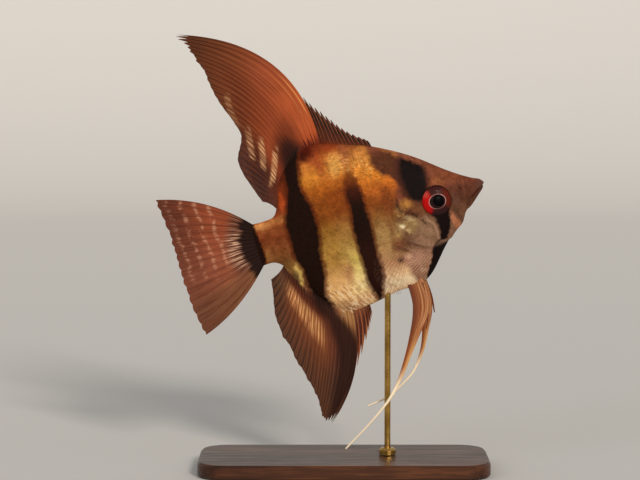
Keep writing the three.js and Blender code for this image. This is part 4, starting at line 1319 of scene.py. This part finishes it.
def pelvic(side, name):
    """A ribbon with seven rays that close up into the thread, and its spine in front."""
    facts = PELVIC[name]
    line = spline(np.array(facts["line"]) * (1, side, 1), np.linspace(0, 1, 400))
    run = np.concatenate(([0], np.cumsum(np.linalg.norm(np.diff(line, axis=0), axis=1))))
    v = np.linspace(0, 1, ALONG_RIBBON)
    middle = np.stack([np.interp(v, run / run[-1], line[:, k]) for k in range(3)], -1)
    course = np.gradient(middle, axis=0)
    across = np.stack((course[:, 2], 0 * v, -course[:, 0]), -1)
    across /= np.linalg.norm(across, axis=1, keepdims=True)
    half = through(facts["widths"])(v)[None, :] / 2
    u = np.linspace(0, 1, ACROSS_RIBBON)[:, None]
    place = (PELVIC_RAYS - 1) * u
    round_off = np.sqrt(np.clip(1 - (2 * u - 1) ** 2, 0, 1))
    ribbon = (0.34 + 0.3 * bump(place - np.round(place), 0.2)) * np.minimum(1, round_off * 2.5)
    thread = np.minimum(2 * half, 0.95) * round_off
    share = ease(v, 0.3, 0.62)[None, :]
    thick = ribbon * (1 - share) + thread * share
    ripple = 0.35 * np.sin(5 * u + 3 * v[None, :]) * (1 - share)
    centre = middle[None] + ((2 * u - 1) * -half)[..., None] * across[None]
    sides = [centre + (s * thick / 2 + ripple)[..., None] * (0, 1, 0) for s in (1, -1)]
    points = np.concatenate([s.reshape(-1, 3) for s in sides])
    faces = sheet_faces(len(u), len(v)).tolist()
    own = np.stack(np.broadcast_arrays(place, v[None, :]), -1).reshape(-1, 2)

    t = np.linspace(0, 1, SPINE_RINGS)
    spine_line = spline(np.array(facts["spine"]) * (1, side, 1), t)
    turn = round_turn(SPINE_SIDES)
    ring = np.stack((np.cos(turn), np.sin(turn), 0 * turn), -1)
    spine = spine_line[:, None, :] + (0.52 - 0.34 * t)[:, None, None] * ring[None]
    first, root = len(points), len(points) + SPINE_SIDES * SPINE_RINGS
    points = np.concatenate((points, spine.reshape(-1, 3), (spine_line[0], spine_line[-1] - (0, 0, 0.3))))
    faces += grid_faces(SPINE_RINGS, SPINE_SIDES, first, closed=True)
    faces += fan_faces(root, first, SPINE_SIDES) + fan_faces(root + 1, root - SPINE_SIDES, SPINE_SIDES)
    spine_own = np.stack(np.broadcast_arrays(0.0, t[:, None] * 0.3 + 0 * turn[None]), -1).reshape(-1, 2)
    piece = fish_piece("pelvic_" + name, points, faces, feeler_material)
    add_map(piece, "Rays", np.concatenate((own, own, spine_own, ((0.0, 0.0), (0.0, 0.3)))))
    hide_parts("pelvic_fin_" + name)


for side, name in SIDES:
    pelvic(side, name)


# ---------- Stand ----------
# A plain display stand: a low base of dark stained hardwood with softened edges, and a brass rod that rises
# through a turned collar into the belly.

def finish_node(node_name, material):
    """Gives one of the stand's solids its finish."""
    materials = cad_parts[node_name].data.materials
    materials.clear()
    materials.append(material)


wood_material, tree, shader = new_material("stand_wood", 0.4, Coat_Weight=0.25, Coat_Roughness=0.25)
spot_at = add_node(tree, "TexCoord").outputs["Object"]
rings = noise(mapped(spot_at, Scale=(14.0, 160.0, 160.0)), 1.0, 3.0)
pores = noise(mapped(spot_at, Scale=(60.0, 900.0, 900.0)), 1.0, 3.0, 0.65)
colour = ramp(rings, ((0.3, "#2c1810"), (0.5, "#4a2a1a"), (0.7, "#5f3822")))
colour = mix(between(pores, 0.45, 0.62, 0.45, 0.0), colour, "#1c0f09")
give(shader, Base_Color=colour, Roughness=between(pores, 0.3, 0.7, 0.5, 0.36))
dent(shader, pores, 0.25, 0.0001)
finish_node("stand_base", wood_material)

brass_material, tree, shader = new_material("stand_brass", 0.28, Metallic=1.0)
spot_at = add_node(tree, "TexCoord").outputs["Object"]
brushed = noise(mapped(spot_at, Scale=(400.0, 400.0, 6000.0)), 1.0, 3.0)
patina = between(noise(spot_at, 160.0, 3.0), 0.35, 0.7)
give(shader, Base_Color=mix(patina, "#c29a52", "#9a7436"), Roughness=between(brushed, 0.3, 0.7, 0.22, 0.4))
dent(shader, brushed, 0.15, 0.00005)
for node_name in ("stand_rod", "stand_collar"):
    finish_node(node_name, brass_material)


# ---------- Studio ----------
# A plain pale cove, soft lamps, and the camera level with the fish.

COVE_RADIUS, COVE_BEND, COVE_SIDES = 1.2, 0.7, 64  # metres

cove_material, _, shader = new_material("studio_cove", 0.9)
shader.inputs["Base Color"].default_value = paint("#cfccc7")
profile = [(COVE_RADIUS, 0.0)]
for a in np.linspace(0.08, 1.35, 16):
    profile.append((COVE_RADIUS + COVE_BEND * math.sin(a), COVE_BEND * (1 - math.cos(a))))
points = [(r * math.cos(a), r * math.sin(a), h) for r, h in profile for a in round_turn(COVE_SIDES)]
faces = grid_faces(len(profile), COVE_SIDES, closed=True) + fan_faces(len(points), 0, COVE_SIDES)
points.append((0.0, 0.0, 0.0))
cove = smooth_mesh("studio_cove", points, faces, cove_material)


def lamp(name, way, spread, power, colour):
    """A soft far lamp that shines from a way, with its spread in degrees."""
    light = bpy.data.lights.new(name, "SUN")
    light.angle, light.energy, light.color = math.radians(spread), power, paint(colour)[:3]
    holder = bpy.data.objects.new(name, light)
    bpy.context.scene.collection.objects.link(holder)
    tilt = math.atan2(math.hypot(way[0], way[1]), way[2])
    holder.rotation_euler = (tilt, 0, math.atan2(way[0], -way[1]))


lamp("key_lamp", (0.35, -0.9, 0.45), 12, 2.15, "#fff6ea")
lamp("fill_lamp", (-0.7, -0.6, 0.35), 30, 0.5, "#f4f6ff")
world = bpy.data.worlds.new("studio")
bpy.context.scene.world = world
world.use_nodes = True
backdrop = world.node_tree.nodes["Background"].inputs
backdrop["Color"].default_value, backdrop["Strength"].default_value = paint("#f1f1f1"), 0.5

AIM = (-0.00787, 0.0, 0.07665)
ELEVATION, FAR, WIDE = math.radians(4.5), 0.8, 0.2112
SENSOR = 36.0
camera_data = bpy.data.cameras.new("camera")
camera_data.sensor_width, camera_data.lens = SENSOR, SENSOR * FAR / WIDE
camera = bpy.data.objects.new("camera", camera_data)
bpy.context.scene.collection.objects.link(camera)
camera.location = (AIM[0], -FAR * math.cos(ELEVATION), AIM[2] + FAR * math.sin(ELEVATION))
camera.rotation_euler = (math.pi / 2 - ELEVATION, 0, 0)
bpy.context.scene.camera = camera
bpy.context.scene.view_settings.view_transform = "Standard"
